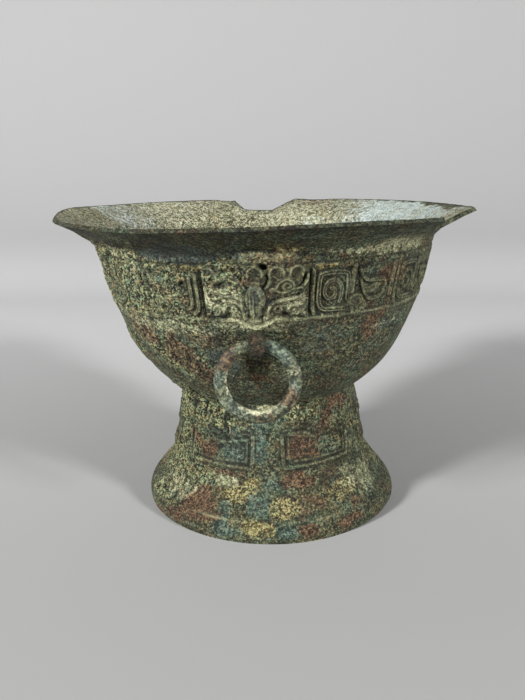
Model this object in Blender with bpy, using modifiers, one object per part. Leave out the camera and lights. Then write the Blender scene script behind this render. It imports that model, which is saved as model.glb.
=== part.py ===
"""An ancient cast bronze vessel, a wide bowl with a flaring lip on a hollow, stepped foot.

Two animal masks stand out of the bowl, front and back. Under each jaw a loop holds a loose ring.
Metres, +Z up. The origin is on the table, under the middle of the lip, and the front mask faces -Y.
"""

import math

import bmesh
import bpy
from mathutils import Vector

MM = 0.001

# The vessel's turned shape
RIM_RADIUS = 120 * MM
RIM_HEIGHT = 175.7 * MM
STEPS = 44
BOWL_WALL = 2.6 * MM
FOOT_WALL = 3.0 * MM

# The vessel leans: above its base it is turned about the Y axis, with its left side down
LEAN = math.radians(-1.2)
LEAN_FROM = 12 * MM
LEAN_FULL = 30 * MM
AXIS_X = (RIM_HEIGHT - LEAN_FROM) * math.sin(-LEAN)

# Round the back the lip is bent, a little up at the left and down at the right
LIP_BEND = 1.6 * MM
NECK_HEIGHT = 158 * MM

# Handles: a mask, its loop and its ring, at the front and at the back
FRONT_ANGLE = math.radians(-3.2)
BACK_ANGLE = FRONT_ANGLE + math.pi
RING_OUTER_RADIUS = 22 * MM
RING_TUBE_RADIUS = 3.4 * MM
RING_CENTRE_RADIUS = RING_OUTER_RADIUS - RING_TUBE_RADIUS
PIVOT_RADIUS = 91 * MM
PIVOT_HEIGHT = 117.2 * MM
LOOP_EYE_RADIUS = 4.4 * MM
LOOP_THICKNESS = 1.8 * MM
LOOP_WIDTH = 8.8 * MM

# The mask
MASK_HALF_WIDTH = 26 * MM
MASK_TOP = 164.5 * MM
MASK_JAW = 125.3 * MM
MASK_BACK = -1.5 * MM

# Relief on the bowl and the foot
BAND_MIDDLE = 141.3 * MM
BAND_RISE = 1.0 * MM
FOOT_RISE = 0.7 * MM
SPIRAL_HALF_WIDTH = 8.8 * MM
SPIRAL_HALF_HEIGHT = 11.4 * MM
SPIRAL_PITCH = 3.8 * MM
SINK = 1.0 * MM
RIBBON_WIDTH = 2.7 * MM
FOOT_PANELS = 6

# Profile stations as (radius, height) in millimetres, from the lip down
LIP = [(120.0, 174.0), (114.7, 171.4), (101.5, 164.6), (98.2, 161.4), (97.1, 157.3)]
BAND = [(96.6, 156.5), (90.5, 128.4)]
BOWL = [(90.1, 127.0), (84.9, 114.0), (78.5, 100.0), (70.6, 88.0), (61.8, 79.2), (52.8, 72.4)]
BOTTOM = [(38.0, 65.0), (20.0, 60.0), (0.0, 58.4)]
FOOT = [(52.4, 71.2), (54.9, 61.0), (58.5, 38.0), (60.4, 28.8)]
BASE = [(63.8, 22.6), (68.0, 17.0), (72.8, 12.2), (76.0, 8.0), (77.5, 3.6), (77.2, 0.0)]

OUTER = LIP + BAND + BOWL + FOOT + BASE


def millimetres(stations):
    """Profile stations in metres."""
    return [Vector((radius * MM, height * MM)) for radius, height in stations]


def offset(path, wall):
    """The path moved inwards by the wall's thickness, along its normal at each point."""
    moved = []
    for index, point in enumerate(path):
        before = path[max(index - 1, 0)]
        after = path[min(index + 1, len(path) - 1)]
        along = (after - before).normalized()
        moved.append(point + wall * Vector((along.y, -along.x)))
    return moved


def outer_radius(height):
    """(radius, slope) of the outer wall at a height."""
    path = millimetres(OUTER)
    for upper, lower in zip(path, path[1:]):
        if lower.y <= height <= upper.y and upper.y > lower.y:
            share = (height - lower.y) / (upper.y - lower.y)
            return lower.x + share * (upper.x - lower.x), (upper.x - lower.x) / (upper.y - lower.y)
    raise ValueError("no wall at this height")


def on_wall(angle, height, lift):
    """A point at lift above the outer wall. The angle runs from -Y towards +X."""
    radius, slope = outer_radius(height)
    length = math.hypot(1.0, slope)
    radius += lift / length
    return Vector((radius * math.sin(angle), -radius * math.cos(angle), height - lift * slope / length))


def over_band(angle, height, lift):
    """A point at lift in front of the bowl's ornamented band, whose slope is followed upwards too."""
    top, bottom = millimetres(BAND)
    share = (height - bottom.y) / (top.y - bottom.y)
    radius = bottom.x + share * (top.x - bottom.x) + lift
    return Vector((radius * math.sin(angle), -radius * math.cos(angle), height))


def step(value, low, high):
    """A smooth step from none at low to one at high."""
    share = min(max((value - low) / (high - low), 0.0), 1.0)
    return share * share * (3 - 2 * share)


def leaned(point):
    """The point after the lip's bend and the vessel's lean, with the base left level under the lip."""
    radius = math.hypot(point.x, point.y)
    up = point.z - LEAN_FROM
    if point.z > NECK_HEIGHT:
        share = min((point.z - NECK_HEIGHT) / (RIM_HEIGHT - NECK_HEIGHT), 1.0)
        up -= LIP_BEND * share * step(point.y / radius, -0.5, 0.2) * point.x / radius
    angle = LEAN * step(point.z, LEAN_FROM, LEAN_FULL)
    x = point.x * math.cos(angle) + up * math.sin(angle)
    z = -point.x * math.sin(angle) + up * math.cos(angle) + LEAN_FROM
    return Vector((x + AXIS_X, point.y, z))


def bronze(name, colour, roughness, metallic):
    """A plain material for one piece."""
    material = bpy.data.materials.new(name)
    material.use_nodes = True
    shader = material.node_tree.nodes["Principled BSDF"]
    shader.inputs["Base Color"].default_value = (*colour, 1.0)
    shader.inputs["Roughness"].default_value = roughness
    shader.inputs["Metallic"].default_value = metallic
    return material


def object_from(shape, name, collection):
    """A mesh object of a bmesh, in the collection."""
    mesh = bpy.data.meshes.new(name)
    shape.to_mesh(mesh)
    shape.free()
    made = bpy.data.objects.new(name, mesh)
    collection.objects.link(made)
    return made


def hide_helper(helper):
    """Marks an object as a cutter or a shape that is joined to another."""
    helper.hide_render = True
    helper.display_type = "WIRE"


def join(target, helper, operation):
    """Adds a Boolean to the target, with the helper as its other shape."""
    hide_helper(helper)
    modifier = target.modifiers.new(f"{operation} {helper.name}", "BOOLEAN")
    modifier.operation = operation
    modifier.solver = "EXACT"
    modifier.object = helper


def turned_wall(collection):
    """The plain vessel: one profile, turned, from the inside bottom over the lip to under the bowl."""
    inner = offset(millimetres(LIP[:4] + BAND + BOWL[1:] + BOTTOM), BOWL_WALL)
    inner[0] = Vector((RIM_RADIUS - 1.2 * MM, RIM_HEIGHT))
    inner[-1].x = 0.0
    under_foot = offset(millimetres(FOOT[::2] + BASE[::2] + BASE[-1:]), FOOT_WALL)
    under_foot[0] = Vector((under_foot[0].x, 69.9 * MM))
    under_foot[-1].y = 0.0
    path = inner[::-1] + millimetres(OUTER) + under_foot[::-1] + millimetres(BOTTOM)
    shape = bmesh.new()
    points = [shape.verts.new((point.x, 0.0, point.y)) for point in path]
    for first, second in zip(points, points[1:]):
        shape.edges.new((first, second))
    profile = object_from(shape, "profile", collection)
    screw = profile.modifiers.new("turned", "SCREW")
    screw.axis = "Z"
    screw.steps = STEPS
    screw.render_steps = STEPS
    screw.use_merge_vertices = True
    screw.merge_threshold = 0.00001
    graph = bpy.context.evaluated_depsgraph_get()
    mesh = bpy.data.meshes.new_from_object(profile.evaluated_get(graph))
    bpy.data.objects.remove(profile)
    shape = bmesh.new()
    shape.from_mesh(mesh)
    bmesh.ops.remove_doubles(shape, verts=shape.verts, dist=0.00001)
    return shape


def lean(shape):
    """Leans every point of the shape."""
    for vertex in shape.verts:
        vertex.co = leaned(vertex.co)
    bmesh.ops.recalc_face_normals(shape, faces=shape.faces)


class Spot:
    """A place on the outer wall that a motif is drawn from, in lengths along the wall and up it."""

    def __init__(self, angle, height, mirrored=False):
        self.angle = angle
        self.height = height
        self.radius = outer_radius(height)[0]
        self.side = -1 if mirrored else 1

    def at(self, along, up, lift):
        return on_wall(self.angle + self.side * along / self.radius, self.height + up, lift)


def side_steps(path, closed):
    """For each point of a flat path, the step to its left edge for a ribbon one unit wide."""
    count = len(path)
    steps = []
    for index in range(count):
        turns = []
        if closed or index > 0:
            turns.append((path[index] - path[index - 1]).normalized())
        if closed or index < count - 1:
            turns.append((path[(index + 1) % count] - path[index]).normalized())
        mean = sum(turns, Vector((0.0, 0.0))).normalized()
        widen = 1.0 / max(mean.dot(turns[0]), 0.3)
        steps.append(Vector((-mean.y, mean.x)) * widen)
    return steps


def ribbon(shape, spot, path, width, rise, closed=False):
    """A raised ribbon along a flat path, with sloping sides and its underside sunk in the wall."""
    path = [Vector(point) for point in path]
    rings = []
    for point, edge in zip(path, side_steps(path, closed)):
        ring = []
        for share, lift in ((0.5, -SINK), (0.36, rise), (-0.36, rise), (-0.5, -SINK)):
            flat = point + edge * width * share
            ring.append(shape.verts.new(spot.at(flat.x, flat.y, lift)))
        rings.append(ring)
    pairs = list(zip(rings, rings[1:]))
    if closed:
        pairs.append((rings[-1], rings[0]))
    for first, second in pairs:
        for corner in range(4):
            following = (corner + 1) % 4
            shape.faces.new((first[corner], first[following], second[following], second[corner]))
    if not closed:
        shape.faces.new(rings[0])
        shape.faces.new(rings[-1][::-1])


def rounded(value, power):
    """The value's sign with its size raised to the power, which squares a circle."""
    return math.copysign(abs(value) ** power, value)


def square_spiral(turns, corners=8):
    """A spiral with blunt corners. It starts at the upper left, runs down first and ends in the middle."""
    path = []
    for index in range(int(turns * corners) + 1):
        turn = index / corners
        shrink = SPIRAL_PITCH * turn
        angle = math.tau * (turn + 0.375 + 0.5 / corners)
        across = (SPIRAL_HALF_WIDTH - shrink) * rounded(math.cos(angle), 0.45)
        up = (SPIRAL_HALF_HEIGHT - shrink) * rounded(math.sin(angle), 0.45)
        path.append((across + SPIRAL_PITCH / 4, up + SPIRAL_PITCH / 4))
    return path


def boss(shape, spot, along, up, radius, rise, sides=8):
    """A low round boss with a blunt top, centred at a distance along and up from the spot."""
    rings = []
    for share, lift in ((1.0, -SINK), (1.0, rise * 0.5), (0.5, rise)):
        ring = []
        for index in range(sides):
            angle = math.tau * index / sides
            across = along + radius * share * math.cos(angle)
            ring.append(shape.verts.new(spot.at(across, up + radius * share * math.sin(angle), lift)))
        rings.append(ring)
    for lower, upper in zip(rings, rings[1:]):
        for index in range(sides):
            following = (index + 1) % sides
            shape.faces.new((lower[index], lower[following], upper[following], upper[index]))
    shape.faces.new(rings[0])
    shape.faces.new(rings[-1][::-1])


def band_unit(shape, mask_angle, start, mirrored, plain):
    """One dragon of the band, counted from the mask: a squared spiral, a ridge, an eye and a shield."""
    side = -1 if mirrored else 1

    def spot(degrees, height=BAND_MIDDLE):
        return Spot(mask_angle + side * math.radians(start + degrees), height, mirrored)

    ribbon(shape, spot(5.2), square_spiral(1.4 if plain else 1.9), RIBBON_WIDTH, BAND_RISE)
    ridge = [(0.4 * MM, 11.6 * MM), (-0.2 * MM, 5 * MM), (0.0, -1.6 * MM)]
    ribbon(shape, spot(12.3), ridge, 3.4 * MM, BAND_RISE)
    shield = [(-6.2, 10.2), (-4.0, 4.6), (-1.4, 0.4), (0.2, -6.6)]
    shield += [(7.6, -5.8), (11.6, -1.0), (11.0, 4.4), (4.0, 4.9)]
    shield = [(along * MM, up * MM) for along, up in shield]
    if plain:
        ribbon(shape, spot(18.6), shield[:6], 1.9 * MM, BAND_RISE)
    else:
        ribbon(shape, spot(18.6), shield, 1.9 * MM, BAND_RISE, closed=True)
        boss(shape, spot(14.6), 0.0, -5.1 * MM, 3.0 * MM, 1.5 * MM)
    post = [(0.0, 11.0 * MM), (0.4 * MM, -9.5 * MM)]
    ribbon(shape, spot(29.6), post, RIBBON_WIDTH, BAND_RISE)


def bowl_relief():
    """The relief between the two masks, on both sides of the bowl."""
    shape = bmesh.new()
    for mask_angle, plain in ((FRONT_ANGLE, False), (BACK_ANGLE, True)):
        for mirrored in (False, True):
            for start in (16.8, 48.0):
                band_unit(shape, mask_angle, start, mirrored, plain)
    for side in (-1, 1):
        middle = Spot(FRONT_ANGLE + side * math.pi / 2, BAND_MIDDLE, side < 0)
        ribbon(shape, middle, square_spiral(1.4), RIBBON_WIDTH, BAND_RISE)
    return shape


def foot_relief():
    """Framed panels round the foot, each open at the top under a scrolled line."""
    shape = bmesh.new()
    for index in range(FOOT_PANELS):
        angle = math.radians(-1.6 + 360 / FOOT_PANELS * (index + 0.5))
        spot = Spot(angle, 46 * MM)
        half = spot.radius * (math.pi / FOOT_PANELS - math.radians(8.4))
        low, high, round_off = -9.8 * MM, 8.6 * MM, 2.4 * MM
        frame = [(-half, high), (-half, low + round_off), (-half + round_off, low)]
        frame += [(half * share, low) for share in (-0.4, 0.0, 0.4)]
        frame += [(half - round_off, low), (half, low + round_off), (half, high)]
        ribbon(shape, spot, frame, RIBBON_WIDTH, FOOT_RISE)
        scroll = [(-0.76, 8.6), (-0.3, 9.6), (-0.12, 8.2), (0.04, 5.0), (0.34, 4.6), (0.76, 6.4)]
        line = [(half * share, up * MM) for share, up in scroll]
        ribbon(shape, spot, line, 2.0 * MM, FOOT_RISE)
    return shape


def bump(distance, width):
    """A smooth hill, one at no distance and near none past twice the width."""
    return math.exp(-((distance / width) ** 2))


def mask_edges(along, worn):
    """(lowest, highest) height of a mask at a distance from its middle. The worn one lacks a top corner."""
    out = abs(along) / MM
    low = MASK_JAW + MM * (6.4 * step(out, 1.0, 14.0) - 2.0 * step(out, 19.0, 26.0))
    high = MASK_TOP - MM * 9.0 * step(out, 17.0, 27.0)
    if worn:
        high -= MM * 6.0 * step(-along / MM, 6.0, 9.0) * (1.0 - step(out, 17.0, 27.0))
    return low, high


def mask_lift(along, height):
    """How far the mask's ground stands out of the band: a low plate with a crown and a muzzle."""
    out = abs(along) / MM
    up = height / MM
    lift = 0.9 + 2.9 * max(1 - (out / 26) ** 2, 0.0)
    lift += 1.5 * step(up, 152, 163) * (1 - step(out, 16, 26))
    lift += 3.4 * bump(out, 8.0) * bump(up - 129.5, 8.0)
    return lift * MM


class MaskSpot:
    """A place on a mask's ground that its features are drawn from, mirrored on its other side."""

    def __init__(self, angle, mirrored=False):
        self.angle = angle
        self.radius = outer_radius(145 * MM)[0]
        self.side = -1 if mirrored else 1

    def at(self, along, up, lift):
        angle = self.angle + self.side * along / self.radius
        return over_band(angle, up, mask_lift(along, up) + lift)


def mask_ground(angle, columns, rows, worn, collection, name):
    """A mask's ground as a grid laid over the wall, closed by a back inside the wall."""
    shape = bmesh.new()
    bmesh.ops.create_grid(shape, x_segments=columns, y_segments=rows, size=1.0)
    radius = outer_radius(145 * MM)[0]
    front = list(shape.faces)
    made = bmesh.ops.extrude_face_region(shape, geom=front, use_keep_orig=True)
    back = [item for item in made["geom"] if isinstance(item, bmesh.types.BMVert)]
    back_points = set(back)
    for vertex in shape.verts:
        along = vertex.co.x * MASK_HALF_WIDTH
        low, high = mask_edges(along, worn)
        height = low + (vertex.co.y + 1) / 2 * (high - low)
        lift = MASK_BACK if vertex in back_points else mask_lift(along, height)
        vertex.co = over_band(angle + along / radius, height, lift)
    lean(shape)
    return object_from(shape, name, collection)


def mask_features(angle, plain, collection, name):
    """A mask's eyes, cheeks, ears, scalloped crown and nose, raised on its ground."""
    shape = bmesh.new()
    for mirrored in (False, True):
        spot = MaskSpot(angle, mirrored)

        def line(path, width, rise, closed=False):
            ribbon(shape, spot, [(along * MM, up * MM) for along, up in path], width * MM, rise * MM, closed)

        lids = [(8.6, 143.4), (10.6, 147.2), (14.0, 149.4), (18.0, 148.2)]
        lids += [(18.8, 145.6), (15.6, 142.8), (11.4, 142.2)]
        line(lids, 1.5, 0.9, closed=True)
        boss(shape, spot, 14.4 * MM, 146.0 * MM, 1.9 * MM, 1.3 * MM)
        line([(22.0, 139.6), (13.0, 139.4), (8.2, 137.8), (6.0, 134.0), (5.4, 129.6)], 1.9, 1.3)
        boss(shape, spot, 10.8 * MM, 135.0 * MM, 2.3 * MM, 1.4 * MM)
        if not plain:
            line([(23.0, 153.6), (24.4, 150.0), (22.9, 146.0), (19.9, 142.8)], 1.8, 1.1)
            crown = [(5.6, 151.4), (6.4, 154.6), (8.0, 156.4), (10.6, 156.9), (13.4, 155.6), (14.8, 152.8)]
            crown += [(16.2, 155.6), (18.6, 156.8), (21.0, 156.4)]
            line(crown, 1.7, 1.2)
    middle = MaskSpot(angle)
    nose = [(1.0 * MM, 147.0 * MM), (1.0 * MM, 139.0 * MM), (1.0 * MM, 131.5 * MM)]
    ribbon(shape, middle, nose, 5.8 * MM, 1.2 * MM)
    if not plain:
        arch = [(-3.4, 149.4), (-3.6, 153.2), (0.0, 155.6), (3.6, 153.2), (3.4, 149.4)]
        ribbon(shape, middle, [(along * MM, up * MM) for along, up in arch], 1.7 * MM, 1.2 * MM)
    lean(shape)
    return object_from(shape, name, collection)


def ring_loop(angle, collection, name):
    """The strap that comes out of the wall under the jaw, goes round the ring and back into the wall."""
    middle = LOOP_EYE_RADIUS + LOOP_THICKNESS / 2
    route = [(86.4 * MM, PIVOT_HEIGHT + middle)]
    for degrees in range(90, -91, -30):
        turn = math.radians(degrees)
        route.append((PIVOT_RADIUS + middle * math.cos(turn), PIVOT_HEIGHT + middle * math.sin(turn)))
    route.append((82.2 * MM, PIVOT_HEIGHT - middle - 0.3 * MM))
    path = [Vector(point) for point in route]
    out = Vector((math.sin(angle), -math.cos(angle), 0.0))
    across = Vector((math.cos(angle), math.sin(angle), 0.0))
    shape = bmesh.new()
    rings = []
    for index, (point, edge) in enumerate(zip(path, side_steps(path, False))):
        width = LOOP_WIDTH * (1.0 - 0.03 * index)
        ring = []
        for side, thick in ((0.5, 0.5), (-0.5, 0.5), (-0.5, -0.5), (0.5, -0.5)):
            flat = point + edge * thick * LOOP_THICKNESS
            place = out * flat.x + across * side * width + Vector((0.0, 0.0, flat.y))
            ring.append(shape.verts.new(place))
        rings.append(ring)
    for first, second in zip(rings, rings[1:]):
        for corner in range(4):
            following = (corner + 1) % 4
            shape.faces.new((first[corner], first[following], second[following], second[corner]))
    shape.faces.new(rings[0])
    shape.faces.new(rings[-1][::-1])
    lean(shape)
    return object_from(shape, name, collection)


def pivot(angle):
    """Where the ring hangs: the middle of the loop's eye."""
    return leaned(Vector((PIVOT_RADIUS * math.sin(angle), -PIVOT_RADIUS * math.cos(angle), PIVOT_HEIGHT)))


def hanging_ring(angle, collection, name):
    """A ring that hangs straight down in its loop, with its origin on its axis of swing."""
    bpy.ops.mesh.primitive_torus_add(
        major_radius=RING_CENTRE_RADIUS,
        minor_radius=RING_TUBE_RADIUS,
        major_segments=24,
        minor_segments=8,
    )
    ring = bpy.context.object
    ring.name = name
    for vertex in ring.data.vertices:
        x, y, z = vertex.co
        vertex.co = Vector((x, -z, y - RING_CENTRE_RADIUS))
    ring.location = pivot(angle)
    ring.rotation_euler = (0.0, 0.0, angle)
    for holder in ring.users_collection:
        holder.objects.unlink(ring)
    collection.objects.link(ring)
    return ring


def prism(outline, low, high, collection, name):
    """A cutter with a plan outline of (x, y) points in millimetres."""
    shape = bmesh.new()
    points = [shape.verts.new((x * MM, y * MM, low)) for x, y in outline]
    face = shape.faces.new(points)
    made = bmesh.ops.extrude_face_region(shape, geom=[face], use_keep_orig=True)
    for item in made["geom"]:
        if isinstance(item, bmesh.types.BMVert):
            item.co.z = high
    lean(shape)
    return object_from(shape, name, collection)


def lip_losses(collection):
    """Cutters for the two pieces that the lip has lost: a notch at the back, a wedge at the front right."""
    notch = [(-23.0, 124.0), (-20.6, 114.0), (-14.0, 104.4), (6.0, 103.8)]
    notch += [(15.4, 109.6), (24.4, 117.0), (33.0, 121.0)]
    wedge = [(85.5, -96.0), (84.6, -84.7), (83.1, -78.0), (84.0, -67.0), (86.5, -55.0), (90.0, -43.6)]
    wedge += [(96.8, -28.5), (104.5, -27.6), (110.0, -25.6), (114.0, -27.2), (126.0, -31.0), (126.0, -96.0)]
    low, high = 161.8 * MM, RIM_HEIGHT + 6 * MM
    return [
        prism(notch, low, high, collection, "notch_cutter"),
        prism(wedge, low, high, collection, "wedge_cutter"),
    ]


def vessel(parts, helpers):
    """The whole casting: wall, relief, masks and loops, less what the lip has lost."""
    shape = turned_wall(helpers)
    lean(shape)
    body = object_from(shape, "vessel", parts)
    for name, relief in (("bowl_relief", bowl_relief()), ("foot_relief", foot_relief())):
        lean(relief)
        join(body, object_from(relief, name, helpers), "UNION")
    join(body, mask_ground(FRONT_ANGLE, 14, 10, True, helpers, "front_mask"), "UNION")
    join(body, mask_ground(BACK_ANGLE, 10, 7, False, helpers, "back_mask"), "UNION")
    join(body, mask_features(FRONT_ANGLE, False, helpers, "front_features"), "UNION")
    join(body, mask_features(BACK_ANGLE, True, helpers, "back_features"), "UNION")
    join(body, ring_loop(FRONT_ANGLE, helpers, "front_loop"), "UNION")
    join(body, ring_loop(BACK_ANGLE, helpers, "back_loop"), "UNION")
    for cutter in lip_losses(helpers):
        join(body, cutter, "DIFFERENCE")
    body.data.materials.append(bronze("patinated bronze", (0.16, 0.19, 0.13), 0.72, 0.35))
    return body


def main():
    for old in list(bpy.data.objects):
        bpy.data.objects.remove(old)
    parts = bpy.data.collections.new("bronze vessel")
    helpers = bpy.data.collections.new("helpers")
    for collection in (parts, helpers):
        bpy.context.scene.collection.children.link(collection)
    vessel(parts, helpers)
    for angle, name in ((FRONT_ANGLE, "ring_front"), (BACK_ANGLE, "ring_back")):
        ring = hanging_ring(angle, parts, name)
        ring.data.shade_smooth()
        ring.data.materials.append(bronze(f"{name} bronze", (0.24, 0.29, 0.26), 0.6, 0.4))


main()
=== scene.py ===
"""The looks of an ancient cast bronze vessel with two mask-and-ring handles.

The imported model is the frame. Every piece is built here in metres at its place in that frame: the casting
with its band, masks and crusts, its two strap loops, and the two loose rings.
"""

import logging
import math
from dataclasses import dataclass, field
from enum import Enum

import bpy
import numpy as np
from mathutils import Matrix, Vector


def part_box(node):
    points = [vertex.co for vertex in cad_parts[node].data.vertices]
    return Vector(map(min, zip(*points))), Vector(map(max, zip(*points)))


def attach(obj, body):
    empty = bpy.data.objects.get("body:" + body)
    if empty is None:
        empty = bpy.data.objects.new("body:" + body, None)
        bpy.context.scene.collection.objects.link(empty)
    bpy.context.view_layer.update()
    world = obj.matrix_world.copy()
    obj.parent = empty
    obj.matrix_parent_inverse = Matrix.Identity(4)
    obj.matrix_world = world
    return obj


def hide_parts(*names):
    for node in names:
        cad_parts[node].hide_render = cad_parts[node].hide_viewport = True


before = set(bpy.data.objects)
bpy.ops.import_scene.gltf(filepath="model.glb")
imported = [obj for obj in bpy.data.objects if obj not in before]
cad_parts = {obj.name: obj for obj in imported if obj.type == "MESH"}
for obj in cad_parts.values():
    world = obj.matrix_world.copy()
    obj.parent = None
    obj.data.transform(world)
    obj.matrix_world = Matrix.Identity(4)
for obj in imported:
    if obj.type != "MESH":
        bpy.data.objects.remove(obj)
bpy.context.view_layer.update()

LOG = logging.getLogger("bronze_vessel")
MM = 0.001

Array = np.ndarray
Piece = bpy.types.Object
Material = bpy.types.Material
Socket = bpy.types.NodeSocket
Path = list[tuple[float, float]]
Colour = tuple[float, float, float]


class Side(Enum):
    """Which mask a handle belongs to, as its azimuth from -Y towards +X, in radians."""

    FRONT = math.radians(-3.2)
    BACK = math.radians(176.8)


class Zone(Enum):
    """The stretches of the turned profile, in the order that it runs."""

    INSIDE = 0
    LIP_TOP = 1
    LIP_UNDER = 2
    BAND = 3
    BOWL = 4
    FOOT = 5
    UNDERFOOT = 6


class Coat(Enum):
    """What lies on the bronze, and the painted shade and highlight, with the colour attribute and channel
    that carries it.
    """

    CRUST = ("patina_a", 0)
    OCHRE = ("patina_a", 1)
    CUPRITE = ("patina_a", 2)
    TEAL = ("patina_b", 0)
    PALE = ("patina_b", 1)
    SLATE = ("patina_b", 2)
    # The next two are dark in hollows, grime and painted shade, and pale on ridges, rubbed metal and painted
    # highlight.
    HOLLOW = ("patina_c", 0)
    RIDGE = ("patina_c", 1)
    INNER = ("patina_c", 2)


COAT_LAYERS = sorted({coat.value[0] for coat in Coat})


def smooth(value: Array, low: float, high: float) -> Array:
    """A smooth step from none at low to one at high.

    Args:
        value: Any array of numbers.
        low: Where the step starts.
        high: Where the step ends.

    Returns:
        The step at each value.
    """
    share = np.clip((value - low) / (high - low), 0.0, 1.0)
    return share * share * (3 - 2 * share)


def hill(value: Array, middle: float, width: float) -> Array:
    """A rounded hill, one at its middle and next to nothing at twice its width."""
    return np.exp(-(((value - middle) / width) ** 2))


def window(value: Array, low: float, opened: float, closing: float, high: float) -> Array:
    """One from opened to closing, with smooth steps up from low and down to high."""
    return smooth(value, low, opened) * (1 - smooth(value, closing, high))


def placed(azimuth: Array, radius: Array, height: Array) -> Array:
    """Places by azimuth from -Y towards +X, distance from the axis and height, one a row."""
    return np.stack([radius * np.sin(azimuth), -radius * np.cos(azimuth), height], axis=-1)


def wrap(angle: Array) -> Array:
    """Angles in radians, brought between -pi and pi."""
    return (angle + math.pi) % math.tau - math.pi


def wrap_degrees(angle: Array) -> Array:
    """Angles in degrees, brought between -180 and 180."""
    return (angle + 180) % 360 - 180


def curve(path: Path, closed: bool = False, rounds: int = 2) -> Array:
    """Rounds the corners of a drawn path by cutting them.

    Args:
        path: Points as (along, up).
        closed: Whether the last point joins the first.
        rounds: How many times the corners are cut.

    Returns:
        The rounded path, one point a row.
    """
    points = np.array(path, float)
    for _ in range(rounds):
        following = np.roll(points, -1, axis=0) if closed else points[1:]
        start = points if closed else points[:-1]
        cut = np.empty((2 * len(start), 2))
        cut[0::2] = 0.75 * start + 0.25 * following
        cut[1::2] = 0.25 * start + 0.75 * following
        points = cut if closed else np.vstack([points[:1], cut, points[-1:]])
    return np.vstack([points, points[:1]]) if closed else points


class Grain:
    """Seeded noise in space, worked out for whole arrays of points."""

    KEYS = (73856093, 19349663, 83492791, 2654435)
    ENTRIES = 65536

    def __init__(self, seed: int) -> None:
        """Fills the table of corner values from the seed."""
        self.table = np.random.default_rng(seed).random(self.ENTRIES)

    def _corner(self, cell: Array, salt: int = 0) -> Array:
        """The table's value for each whole-numbered cell."""
        key = salt * self.KEYS[3]
        for axis in range(3):
            key = key ^ cell[:, axis] * self.KEYS[axis]
        return self.table[key & (self.ENTRIES - 1)]

    def soft(self, points: Array, size: float) -> Array:
        """Smooth noise between -1 and 1.

        Args:
            points: Places, one a row, in metres.
            size: The width of its hills, in metres.

        Returns:
            The noise at each place.
        """
        scaled = points / size
        cell = np.floor(scaled).astype(np.int64)
        share = scaled - cell
        share = share * share * (3 - 2 * share)
        total = np.zeros(len(points))
        for corner in range(8):
            step = np.array([corner & 1, corner >> 1 & 1, corner >> 2 & 1])
            weight = np.prod(np.where(step == 1, share, 1 - share), axis=1)
            total += weight * self._corner(cell + step)
        return total * 2 - 1

    def layered(self, points: Array, size: float, layers: int = 4) -> Array:
        """Several sizes of smooth noise added up, each half as wide and half as high as the last.

        Args:
            points: Places, one a row, in metres.
            size: The width of the widest hills, in metres.
            layers: How many sizes are added.

        Returns:
            The noise at each place.
        """
        total = np.zeros(len(points))
        for layer in range(layers):
            total += self.soft(points + 0.37 * layer, size / 2**layer) / 2**layer
        return total / 1.6

    def lumps(self, points: Array, size: float) -> Array:
        """Rounded grains packed side by side, one on each grain's top and none between them.

        Args:
            points: Places, one a row, in metres.
            size: The mean distance between grains, in metres.

        Returns:
            The height at each place, from 0 to 1.
        """
        scaled = points / size
        cell = np.floor(scaled).astype(np.int64)
        nearest = np.full(len(points), 9.0)
        for index in range(27):
            step = np.array([index % 3 - 1, index // 3 % 3 - 1, index // 9 - 1])
            there = cell + step
            seed = np.stack([self._corner(there, salt) for salt in (1, 2, 3)], axis=1)
            distance = np.sum((there + seed - scaled) ** 2, axis=1)
            nearest = np.minimum(nearest, distance)
        return np.clip(1.0 - nearest * 1.6, 0.0, 1.0)


GRAIN = Grain(71)


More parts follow.
